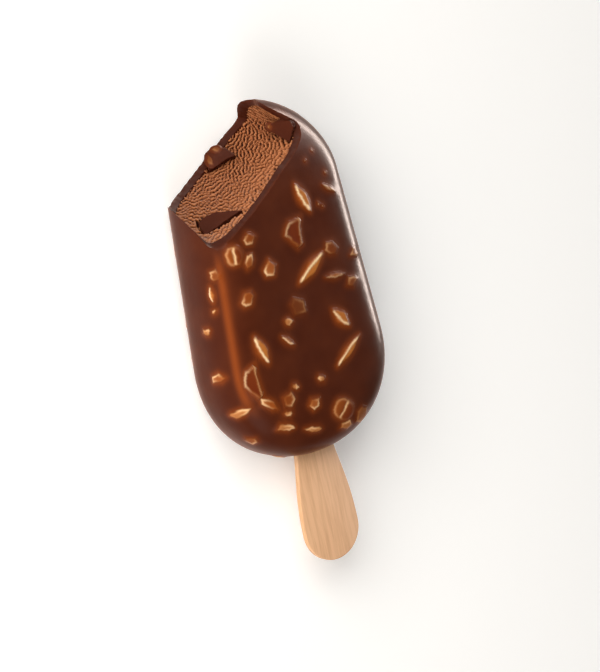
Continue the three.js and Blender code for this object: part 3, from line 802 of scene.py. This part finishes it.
def nutPiece(kind, chosen, others, material):
    piece = newPiece(kind + "_nuts", toFrame(np.array([site["point"] for site in chosen])))
    turns = piece.data.attributes.new("turn", "FLOAT_VECTOR", "POINT")
    sizes = piece.data.attributes.new("size", "FLOAT_VECTOR", "POINT")
    writeNumbers(piece, "number", np.arange(len(chosen)))
    for k, site in enumerate(chosen):
        facing = Matrix([site["along"], site["beside"], site["normal"]]).transposed()
        turns.data[k].vector = facing.to_euler()
        sizes.data[k].vector = (site["length"] * mm / 2, site["width"] * mm / 2, site["rise"] * mm)
    applyTree(piece, makeNutTree(kind, material), {})
    number = np.round(readNumbers(piece, "number")).astype(int)
    local = readNumbers(piece, "local", 3)
    points = fromFrame(pointsOf(piece))
    shares = {name: np.zeros(len(points)) for name in ("nutOrangeAndRidgeHighlight", "red", "gold", "cream")}
    for k, site in enumerate(chosen):
        own = number == k
        reach = np.array([site["length"], site["width"]]) / 2 * nut["patchShare"] + nut["reach"]
        spots = local[own, :2] * reach
        base = site["point"] + spots @ np.array([site["along"], site["beside"]])
        normals = np.tile(site["normal"], (len(base), 1))
        if site["onBar"]:
            base = ontoBar(base, site["normal"])
            normals = barNormals(base)
        level = local[own, 2]
        swell = swellOver(base, others)
        edge, relief, (amber, red, gold, cream) = nutLook(site, spots)
        sunk = nut["dive"] * (1 - ease(-nut["reach"], -nut["reach"] * 0.5, edge))
        above = swell + relief + nut["lift"] - sunk
        below = swell - nut["dive"] - nut["bodyDepth"] * np.minimum(-level * 2, 1)
        offset = np.where(level > -0.01, above, below)
        points[own] = base + normals * offset[:, None]
        # Nut orange, and the painted highlight along the left shoulder
        shares["nutOrangeAndRidgeHighlight"][own] = np.maximum(glowNear(base, others), np.maximum(amber, paintedRidgeHighlight(base)))
        shares["red"][own] = red
        shares["gold"][own] = gold
        shares["cream"][own] = cream
    movePoints(piece, toFrame(points))
    for name, share in shares.items():
        writeNumbers(piece, name, np.clip(share, 0, 1))
    for name in ("turn", "size", "number", "local"):
        if name in piece.data.attributes:
            piece.data.attributes.remove(piece.data.attributes[name])
    return piece


# Materials

def newMaterial(name, **settings):
    material = bpy.data.materials.new(name)
    material.use_nodes = True
    shader = material.node_tree.nodes["Principled BSDF"]
    for label, value in settings.items():
        shader.inputs[label.replace("_", " ")].default_value = value
    return material, material.node_tree, shader


def linear(red, green, blue):
    # A colour as the eye reads it, 0 to 255, as the shader needs it
    parts = [value / 255 for value in (red, green, blue)]
    return tuple(p / 12.92 if p <= 0.04045 else ((p + 0.055) / 1.055) ** 2.4 for p in parts) + (1,)


def mixColour(tree, share, first, second):
    node = addNode(tree, "ShaderNodeMix", data_type="RGBA")
    fill(tree, node.inputs["Factor"], share)
    fill(tree, node.inputs[6], first)
    fill(tree, node.inputs[7], second)
    return node.outputs[2]


def rampOf(tree, value, stops):
    node = addNode(tree, "ShaderNodeValToRGB", {0: value})
    ramp = node.color_ramp
    while len(ramp.elements) < len(stops):
        ramp.elements.new(0.5)
    for element, (place, colour) in zip(ramp.elements, stops):
        element.position = place
        element.color = colour
    return node.outputs[0]


def attributeOf(tree, name):
    return Formula(tree, addNode(tree, "ShaderNodeAttribute", attribute_name=name).outputs["Fac"])


def noiseOf(tree, size, detail=3.0, stretch=(1, 1, 1)):
    spot = addNode(tree, "ShaderNodeTexCoord").outputs["Object"]
    placed = addNode(tree, "ShaderNodeMapping", {"Vector": spot, "Scale": stretch})
    node = addNode(tree, "ShaderNodeTexNoise", {
        "Vector": placed.outputs[0], "Scale": 1 / size, "Detail": detail})
    return Formula(tree, node.outputs[0])


def addBump(tree, shader, height, depth, strength):
    node = addNode(tree, "ShaderNodeBump", {"Strength": strength, "Distance": depth, "Height": height})
    tree.links.new(node.outputs[0], shader.inputs["Normal"])


chocolate = {
    # The nut orange also paints the highlight along the left shoulder
    "body": (84, 38, 20), "deep": (71, 30, 16), "nutOrangeAndRidgeHighlight": (146, 68, 22), "broken": (62, 24, 11),
    "red": (100, 38, 17), "gold": (196, 124, 58), "cream": (240, 208, 162),
    "sheen": 0.35, "sheenTint": (226, 150, 112),
}


def chocolateMaterial():
    # Milk chocolate with the nuts showing through it
    material, tree, shader = newMaterial(
        "milkChocolateCoating", Roughness=0.2, IOR=1.5, Specular_IOR_Level=0.05,
        Sheen_Weight=chocolate["sheen"], Sheen_Roughness=0.3, Sheen_Tint=linear(*chocolate["sheenTint"]))
    cloud = noiseOf(tree, 9 * mm, 2.0)
    colour = mixColour(tree, (cloud - 0.35) * 2.2, linear(*chocolate["deep"]), linear(*chocolate["body"]))
    fleck = (noiseOf(tree, 0.7 * mm) - 0.5) * 0.5
    for name in ("nutOrangeAndRidgeHighlight", "red", "gold", "cream"):
        share = attributeOf(tree, name)
        if name in ("gold", "cream"):
            share = share * (1 + fleck)
        colour = mixColour(tree, share, colour, linear(*chocolate[name]))
    broken = attributeOf(tree, "broken")
    colour = mixColour(tree, broken, colour, linear(*chocolate["broken"]))
    fill(tree, shader.inputs["Base Color"], colour)
    fill(tree, shader.inputs["Roughness"], 0.25 + noiseOf(tree, 3 * mm) * 0.1 + broken * 0.2)
    addBump(tree, shader, noiseOf(tree, 2.2 * mm, 2.0), 0.00008, 0.5)
    return material


iceCream = {
    # Colours by relief: the pit colour is painted shade in the hollows
    "ridge": (176, 112, 72), "middle": (124, 68, 36), "pitShade": (40, 12, 5), "smear": (148, 98, 62),
    "recess": 0.45, "spacing": 0.94, "relief": 0.48, "step": 0.14, "seed": 12,
    "turns": (45, 15, -15, -45), "lengthening": 0.75,
    "smearFrom": 3.0, "smearTo": 1.9, "smearStart": 6, "smearEnd": 20, "smearFade": 4,
    "tightest": 0.3, "open": (-0.525, 0.139, 0.84), "overlap": 0.02,
    # Spacing, lengthening, turn and seed of the slow drift and of the finest crumb
    "drift": (14, 1, 0, 40), "crumb": (0.42, 0.8, 30, 77),
    "pocketMargin": 0.45, "pocketGap": 0.1, "pocketDeepest": 3.0,
}


def iceCreamMaterial():
    material, tree, shader = newMaterial("tornChocolateIceCream", Roughness=0.55, IOR=1.4,
                                         Specular_IOR_Level=0.15)
    relief = attributeOf(tree, "relief")
    # Painted shade: darker down into the pits, lighter on the ridges
    colour = rampOf(tree, relief * 0.5 + 0.5, [
        (0.24, linear(*iceCream["pitShade"])), (0.55, linear(*iceCream["middle"])),
        (0.88, linear(*iceCream["ridge"]))])
    colour = mixColour(tree, attributeOf(tree, "smear") * 0.8, colour, linear(*iceCream["smear"]))
    fill(tree, shader.inputs["Base Color"], colour)
    addBump(tree, shader, noiseOf(tree, 0.25 * mm), 0.00005, 0.5)
    return material


wood = {"face": (222, 174, 131), "grain": (190, 139, 95)}


def woodMaterial():
    material, tree, shader = newMaterial("paleBirch", Roughness=0.6, IOR=1.45)
    grain = noiseOf(tree, 1.1 * mm, 4.0, (1, 0.045, 1))
    pores = noiseOf(tree, 0.35 * mm, 2.0, (1, 0.06, 1))
    share = (grain - 0.4) * 1.6 + (pores - 0.5) * 0.9
    colour = mixColour(tree, share, linear(*wood["face"]), linear(*wood["grain"]))
    fill(tree, shader.inputs["Base Color"], colour)
    addBump(tree, shader, pores, 0.0001, 0.35)
    return material


# The chocolate coating: the bar's skin with nuts under it, hollow, and bitten

coating = {
    "columns": 440, "rows": 132, "innerColumns": 240, "innerRows": 72, "biteStep": 0.4,
    # Spacing, lengthening, turn and seed of the waves in the broken edge
    "biteRough": 0.05, "biteWaves": (2.6, 0.6, 20, 3),
    # How deep the bevels are, and where each comes in: up the thickness, or across the bite
    "faceBevel": 1.7, "faceBevelUp": (5, 11), "topBevel": 2.0, "topBevelUp": (-5, 3),
    "topBevelAcross": (16, 26), "bevelReach": 1.4, "proud": 0.35, "proudAcross": (17, 23),
    # Painted highlight: the lighter orange band along the left shoulder
    "ridgeHighlightAt": 0.78, "ridgeHighlightReach": 0.06, "ridgeHighlightStrength": 0.7, "ridgeHighlightFrom": 14, "ridgeHighlightTo": -33,
    "ridgeHighlightFade": 8, "ridgeHighlightAcross": -10,
}


def bevelDepth(grid):
    # The coat breaks aslant on the face and at the top end, so its broken edge shows
    intoCoat = np.clip(1 - depthInside(grid) / bar["coatThickness"], 0, coating["bevelReach"])
    across, _ = turnBite(grid[..., 0], grid[..., 1])
    face = coating["faceBevel"] * ease(*coating["faceBevelUp"], grid[..., 2])
    topEnd = coating["topBevel"] * ease(*coating["topBevelAcross"], across)
    topEnd = topEnd * ease(*coating["topBevelUp"], grid[..., 2])
    lip = coating["proud"] * (1 - ease(*coating["proudAcross"], across))
    return (intoCoat - lip) * np.maximum(face, topEnd)


def paintedRidgeHighlight(places):
    # A painted highlight: a band of lighter orange colour along the left shoulder
    rise = places[:, 2] / halfThicknessAt(places[:, 1])
    band = np.exp(-((rise - coating["ridgeHighlightAt"]) / coating["ridgeHighlightReach"]) ** 2)
    band = band * (places[:, 0] < coating["ridgeHighlightAcross"])
    ends = within(coating["ridgeHighlightTo"], coating["ridgeHighlightFrom"], coating["ridgeHighlightFade"], places[:, 1])
    return coating["ridgeHighlightStrength"] * band * ends


def makeCoating(sites, material):
    tree = makeBarTree(material)
    coat = barSkin("chocolate_coat", tree, 0, 0.0, coating["columns"], coating["rows"])
    points = pointsOf(coat)
    swell = swellOver(fromFrame(points), sites)
    lifted = points + normalsOf(coat) * (swell * mm)[:, None]
    lifted[:, 2] = np.maximum(lifted[:, 2], 0)
    movePoints(coat, lifted)
    hollow = barSkin(
        "hollow", tree, bar["coatThickness"], noFloor, coating["innerColumns"], coating["innerRows"])
    cutAway(coat, hollow)
    grid = biteSheet(coating["biteStep"])
    chips = bandNoise(grid.shape[:2], coating["biteStep"], *coating["biteWaves"])
    grid = grid + sheetNormals(grid) * (coating["biteRough"] * chips - bevelDepth(grid))[..., None]
    tool = gridPiece("bite", toFrame(grid))
    cutAway(coat, tool)
    for spare in (hollow, tool):
        bpy.data.objects.remove(spare)
    places = fromFrame(pointsOf(coat))
    outside = ease(-0.09, -0.02, barLevel(places))
    writeNumbers(coat, "broken", 1 - outside)
    # Nut halos, and the painted highlight along the left shoulder
    writeNumbers(coat, "nutOrangeAndRidgeHighlight", np.maximum(glowNear(places, sites), paintedRidgeHighlight(places)) * outside)
    keepMaterial(coat, material)
    smooth(coat, 38)
    return coat


def pocketDepth(grid, normals):
    # How far the sheet sinks so that each flake of coating has a pocket to lie in
    points, ways = grid.reshape(-1, 3), normals.reshape(-1, 3)
    depth = np.zeros(len(points))
    for flake in flakes.values():
        turn, centre = flakeFrame(flake)
        local = (points - centre) @ turn
        over = insideOf(local[:, :2], np.array(flake["outline"])) > -iceCream["pocketMargin"]
        over &= np.abs(local[:, 2]) < 2 * bar["coatThickness"]
        under = -bar["coatThickness"] - iceCream["pocketGap"] - flake["bend"] * local[:, 0] ** 2
        facing = np.maximum(ways @ turn[:, 2], 0.35)
        needed = np.clip((local[:, 2] - under) / facing, 0, iceCream["pocketDeepest"])
        depth = np.maximum(depth, np.where(over, needed, 0))
    return depth.reshape(grid.shape[:2])


def rowsAt(field, places):
    low = np.floor(places).astype(int)
    part = (places - low)[:, None]
    return field[low] * (1 - part) + field[low + 1] * part


def makeIceCream(material):
    tree = bpy.data.node_groups["mouldedBar"]
    inset = bar["coatThickness"] - iceCream["overlap"]
    body = barSkin("ice_cream_body", tree, inset, noFloor, coating["innerColumns"], coating["innerRows"])
    step = iceCream["step"]
    grid = biteSheet(step)
    shape = grid.shape[:2]
    drift = bandNoise(shape, step, *iceCream["drift"])
    up = np.linspace(-1, 1, shape[0])[:, None]
    over = np.linspace(-1, 1, shape[1])[None, :]
    share = np.clip(0.45 + 0.12 * drift + 0.35 * up + 0.9 * over, 0, 1)
    waves = np.zeros(shape)
    # Where the surface turns away toward the face and the top end, the ridges run longer and flatter
    normals = sheetNormals(grid)
    openness = normals @ np.array(iceCream["open"])
    lean = bite["slant"] - 2 * bite["bowl"] * grid[:, 0, 2]
    rowPlaces = np.cumsum(np.clip(0.46 + 0.92 * lean, iceCream["tightest"], 1.4))
    columnPlaces = np.cumsum(np.clip(openness.mean(axis=0) / 0.7, 0.45, 1))
    noiseShape = (math.ceil(rowPlaces[-1]) + 2, math.ceil(columnPlaces[-1]) + 2)
    turns = iceCream["turns"]
    for k, turn in enumerate(turns):
        weight = np.maximum(1 - np.abs(share * (len(turns) - 1) - k), 0)
        noise = bandNoise(
            noiseShape, step, iceCream["spacing"], iceCream["lengthening"], turn, iceCream["seed"] + k)
        waves += weight * rowsAt(rowsAt(noise, rowPlaces).T, columnPlaces).T
    crumb = bandNoise(shape, step, *iceCream["crumb"])
    relief = np.tanh(1.2 * waves + 0.45 * crumb + 0.15)
    across, _ = turnBite(grid[..., 0], grid[..., 1])
    middle = within(iceCream["smearStart"], iceCream["smearEnd"], iceCream["smearFade"], across)
    smear = ease(-iceCream["smearFrom"], -iceCream["smearTo"], -depthInside(grid)) * middle * (up > 0) * 0.8
    relief = relief * (1 - 0.85 * smear) + 0.3 * smear
    height = iceCream["relief"] * relief * np.where(grid[..., 2] < 4, np.clip(openness / 0.6, 0.3, 1), 1)
    depth = iceCream["recess"] - height + pocketDepth(grid, normals)
    pushed = grid - normals * depth[..., None]
    tool = gridPiece("tornBite", toFrame(pushed))
    writeNumbers(tool, "relief", relief.reshape(-1))
    writeNumbers(tool, "smear", smear.reshape(-1))
    writeNumbers(body, "relief", np.zeros(len(body.data.vertices)))
    writeNumbers(body, "smear", np.zeros(len(body.data.vertices)))
    cutAway(body, tool)
    bpy.data.objects.remove(tool)
    keepMaterial(body, material)
    body.data.shade_smooth()
    return body


# The stick: a paddle with softly rounded edges

def stickOutline(shrink):
    neck = stick["neckWidth"] / 2 - shrink
    wide = stick["endWidth"] / 2 - shrink
    innerTop = stick["outerEnd"] + stick["length"] - stick["neckWidth"] / 2
    outerBend = stick["outerEnd"] + stick["endWidth"] / 2
    pull = stick["curvePull"]
    t = np.linspace(0, 1, 41)[:, None]
    corners = np.array([(neck, stick["widenFrom"]), (neck, stick["widenFrom"] - pull),
                        (wide, outerBend + pull), (wide, outerBend)])
    flank = ((1 - t) ** 3 * corners[0] + 3 * (1 - t) ** 2 * t * corners[1]
             + 3 * (1 - t) * t ** 2 * corners[2] + t ** 3 * corners[3])
    inner = np.linspace(math.pi / 2, 0, 25)
    outer = np.linspace(0, -math.pi / 2, 41)[1:]
    right = np.vstack([
        np.column_stack([neck * np.cos(inner), innerTop + neck * np.sin(inner)]),
        flank,
        np.column_stack([wide * np.cos(outer), outerBend + wide * np.sin(outer)])])
    left = right[1:-1][::-1] * (-1, 1)
    return np.vstack([right, left])[::-1]


def makeStick(material):
    radius = stick["edgeRound"]
    half = stick["thickness"] / 2
    rings = []
    for angle in np.linspace(-90, 90, 11):
        lean = math.radians(angle)
        height = math.copysign(half - radius, lean) + radius * math.sin(lean)
        rings.append((radius * (1 - math.cos(lean)), height))
    rings = rings[:5] + rings[6:]
    grid = []
    for shrink, height in rings:
        outline = stickOutline(shrink) + (stick["offset"], 0)
        grid.append(np.column_stack([outline, np.full(len(outline), height)]))
    piece = gridPiece("paddle_stick", toFrame(np.array(grid)))
    keepMaterial(piece, material)
    smooth(piece, 45)
    return piece


# Broken flakes of coating on the bitten face: where each lies, its outline on its own plane,
# and its nuts as across, along, length, width, turn and bareness

flakes = {
    "front": {
        "centre": (-12.8, 19.8, 0.1), "turn": (-63, -36, -10), "bend": 0.006, "seed": 5,
        "outline": ((-5, 2.2), (-2.8, 2.6), (0.5, 1.3), (5.9, -3.7), (0.9, -3.4), (-5.3, -2.9)),
        "nuts": (),
    },
    "left": {
        "centre": (-2.9, 33.6, -7.3), "turn": (-38, -34, -1), "bend": 0.03, "seed": 6,
        "outline": ((-4.3, 2.2), (-3.3, 3.3), (-1.3, 3.5), (1.9, 1.4), (3.3, -1.8), (-0.2, -1.6),
                    (-4.7, -1.5)),
        "nuts": ((-3, 0.6, 3.4, 2.1, 75, 0.06), (-0.2, 2.2, 2.6, 1.5, -35, 0.08)),
    },
    "top": {
        "centre": (7.9, 37.8, 5.4), "turn": (-5.7, -68.2, -17.4), "bend": 0.008, "seed": 8,
        "outline": ((-4.8, -0.2), (-1.9, 1.4), (0.8, 2.5), (3.9, 2.5), (4.6, 1), (3.4, -3.2), (-0.6, -1.4)),
        "nuts": ((-2.6, 0.3, 1.7, 1.5, 0, 0.08),),
    },
}
flakeFinish = {
    "points": 168, "cornerRound": 0.35, "ragged": 0.1, "sideRough": 0.12, "dullnessAndShade": 0.5,
    "outlineWaves": 40, "sideWaves": 60,
}


def flakeFrame(flake):
    turn = Euler([math.radians(angle) for angle in flake["turn"]], "ZYX").to_matrix()
    return np.array(turn), np.array(flake["centre"])


def flakeSites(flake):
    turn, centre = flakeFrame(flake)
    found = []
    for x, y, length, width, angle, bare in flake["nuts"]:
        spot = np.array([x, y, -flake["bend"] * x ** 2])
        heading = np.array([*directionOf(angle), 0])
        normal, along = turn[:, 2], turn @ heading
        found.append({
            "kind": "chip", "point": centre + turn @ spot, "normal": normal, "along": along,
            "beside": np.cross(normal, along), "length": length, "width": width,
            "rise": nut["rise"]["chip"], "bare": bare, "seed": nut["flakeSeed"] + len(found),
            "onBar": False})
    return found


def ringNoise(count, waves, draw):
    # A closed, seeded wobble round an outline
    angle = np.linspace(0, 2 * math.pi, count, endpoint=False)
    total = np.zeros(count)
    for wave in range(2, waves):
        total += draw.normal() * np.cos(wave * angle + draw.uniform(0, 6.3)) / math.sqrt(wave)
    return total / total.std()


def makeFlake(name, flake, material):
    draw = np.random.default_rng(flake["seed"])
    count = flakeFinish["points"]
    corners = np.array(flake["outline"], dtype=float)
    if np.sum(corners[:, 0] * np.roll(corners[:, 1], -1) - corners[:, 1] * np.roll(corners[:, 0], -1)) > 0:
        corners = corners[::-1]
    closed = np.vstack([corners, corners[:1]])
    run = np.concatenate([[0], np.cumsum(np.linalg.norm(np.diff(closed, axis=0), axis=1))])
    even = np.linspace(0, run[-1], count, endpoint=False)
    outline = np.column_stack([np.interp(even, run, closed[:, 0]), np.interp(even, run, closed[:, 1])])
    spread = max(1, round(flakeFinish["cornerRound"] / (run[-1] / count)))
    outline = sum(np.roll(outline, k, axis=0) for k in range(-spread, spread + 1)) / (2 * spread + 1)
    middle = outline.mean(axis=0)
    outward = outline - middle
    outward /= np.linalg.norm(outward, axis=1, keepdims=True)
    ragged = flakeFinish["ragged"] * ringNoise(count, flakeFinish["outlineWaves"], draw)
    outline = outline + outward * ragged[:, None]
    thick = bar["coatThickness"]
    # Each ring's share of the way out, its height, and how rough it is
    rings = [(share, 0.0, 0.0) for share in (0.02, 0.15, 0.3, 0.45, 0.6, 0.72, 0.84, 0.93, 0.98)]
    rings += [(1.0, -0.04, 0.0), (1.0, -0.14, 0.04)]
    rings += [(1.0, -0.14 - (thick - 0.28) * k / 8, 1.0) for k in range(1, 8)]
    rings += [(1.0, -thick + 0.1, 0.0), (0.98, -thick, 0.0)]
    rings += [(share, -thick, 0.0) for share in (0.9, 0.75, 0.5, 0.25, 0.02)]
    waves = flakeFinish["sideWaves"]
    sides = ringNoise(count, waves, draw)
    grid = np.empty((len(rings), count, 3))
    for row, (share, height, rough) in enumerate(rings):
        drift = rough * flakeFinish["sideRough"] * (0.6 * sides + 0.7 * ringNoise(count, waves, draw))
        grid[row, :, :2] = middle + (outline - middle) * share + outward * drift[:, None]
        grid[row, :, 2] = height
    turn, centre = flakeFrame(flake)
    broken = (grid[..., 2] < -0.06).astype(float).reshape(-1)
    grid[..., 2] -= flake["bend"] * grid[..., 0] ** 2
    placed = centre + grid @ turn.T
    piece = gridPiece(name, placed.reshape(grid.shape))
    points = pointsOf(piece)
    top = broken < 0.5
    swell = swellOver(points, flakeSites(flake)) * top
    writeNumbers(piece, "nutOrangeAndRidgeHighlight", glowNear(points, flakeSites(flake)) * top * 0.7)
    movePoints(piece, toFrame(points + turn[:, 2] * swell[:, None]))
    # Flake tops take part of the broken colour: a duller finish and painted shade
    writeNumbers(piece, "broken", np.maximum(broken, flakeFinish["dullnessAndShade"]))
    keepMaterial(piece, material)
    smooth(piece, 40)
    return piece


# Floor and lights

light = {
    "floor": (0.93, 0.925, 0.915), "floorGlow": 0.2, "world": 0.06,
    # Place, target, width, height, power and colour of each softbox. Rims and sheens only give gloss.
    "key": ((-0.42, 0.47, 0.52), (0, 0, 0.01), 0.6, 0.6, 6.4, (1, 0.98, 0.94)),
    "left": ((-0.78, -0.05, 0.4), (0, 0, 0.01), 1.2, 0.6, 4.0, (1, 0.92, 0.84)),
    "foot": ((-0.35, -0.6, 0.5), (0, -0.03, 0.01), 0.5, 0.5, 2.8, (1, 0.98, 0.95)),
    "rightRim": ((0.7, 0.26, 0.09), (0, 0, 0.01), 0.9, 0.16, 40, (1, 0.88, 0.79)),
    "topRim": ((0.3, 0.8, 0.12), (0, 0.04, 0.01), 0.6, 0.2, 18, (1, 0.93, 0.82)),
    "rightSheen": ((0.5, 0.5, 0.47), (0, 0.02, 0.01), 0.5, 0.4, 22, (1, 0.89, 0.84)),
}


def makeStage():
    material, tree, shader = newMaterial("paleFloor", Roughness=0.8, Specular_IOR_Level=0.0)
    shader.inputs["Base Color"].default_value = light["floor"] + (1,)
    shader.inputs["Emission Color"].default_value = (1, 1, 1, 1)
    shader.inputs["Emission Strength"].default_value = light["floorGlow"]
    half = 1.5
    floor = newPiece("floor", [(-half, -half, 0), (half, -half, 0), (half, half, 0), (-half, half, 0)],
                     [(0, 1, 2, 3)], material)


def addSoftbox(name, place, target, width, height, power, colour):
    lamp = bpy.data.lights.new(name, "AREA")
    lamp.shape = "RECTANGLE"
    lamp.size = width
    lamp.size_y = height
    lamp.energy = power
    lamp.color = colour
    holder = bpy.data.objects.new(name, lamp)
    holder.location = place
    holder.rotation_euler = (Vector(target) - Vector(place)).to_track_quat("-Z", "Y").to_euler()
    drawing.objects.link(holder)
    return holder


def makeLights():
    bpy.context.scene.view_settings.view_transform = "Standard"
    world = bpy.data.worlds.new("studio")
    bpy.context.scene.world = world
    world.use_nodes = True
    world.node_tree.nodes["Background"].inputs[0].default_value = (1, 1, 1, 1)
    world.node_tree.nodes["Background"].inputs[1].default_value = light["world"]
    for name in ("key", "left", "foot", "rightRim", "topRim", "rightSheen"):
        lamp = addSoftbox(name, *light[name])
        lamp.visible_diffuse = name in ("key", "left", "foot")


print("camera and stage")
makeCamera()
makeStage()
makeLights()

print("nut pieces")
sites = faceSites(faceNuts, 0, 1)
sites += sideSites(len(sites))
sites += strewnSites(sites)
sites += faceSites(crumbs, nut["crumbSeed"], nut["fullRiseFrom"])
flakeNuts = [site for flake in flakes.values() for site in flakeSites(flake)]
coatingLook = chocolateMaterial()
nutPieces = []
for kind in nut["rise"]:
    chosen = [site for site in sites + flakeNuts if site["kind"] == kind]
    nutPieces.append(nutPiece(kind, chosen, sites + flakeNuts, coatingLook))

print("coating")
coat = makeCoating(sites, coatingLook)
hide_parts("chocolate_coating")
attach(coat, "root")
for piece in nutPieces:
    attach(piece, "root")

print("flakes of coating")
flakePieces = []
for name, flake in flakes.items():
    piece = makeFlake(name + "_flake", flake, coatingLook)
    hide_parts("coating_flake_" + name)
    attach(piece, "root")
    flakePieces.append(piece)

print("ice cream")
body = makeIceCream(iceCreamMaterial())
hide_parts("ice_cream")
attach(body, "root")

print("stick")
paddle = makeStick(woodMaterial())
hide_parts("stick")
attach(paddle, "root")

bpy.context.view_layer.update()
for piece in [coat, body, paddle] + nutPieces + flakePieces:
    piece.data.calc_loop_triangles()
    print(piece.name, len(piece.data.loop_triangles), "triangles")
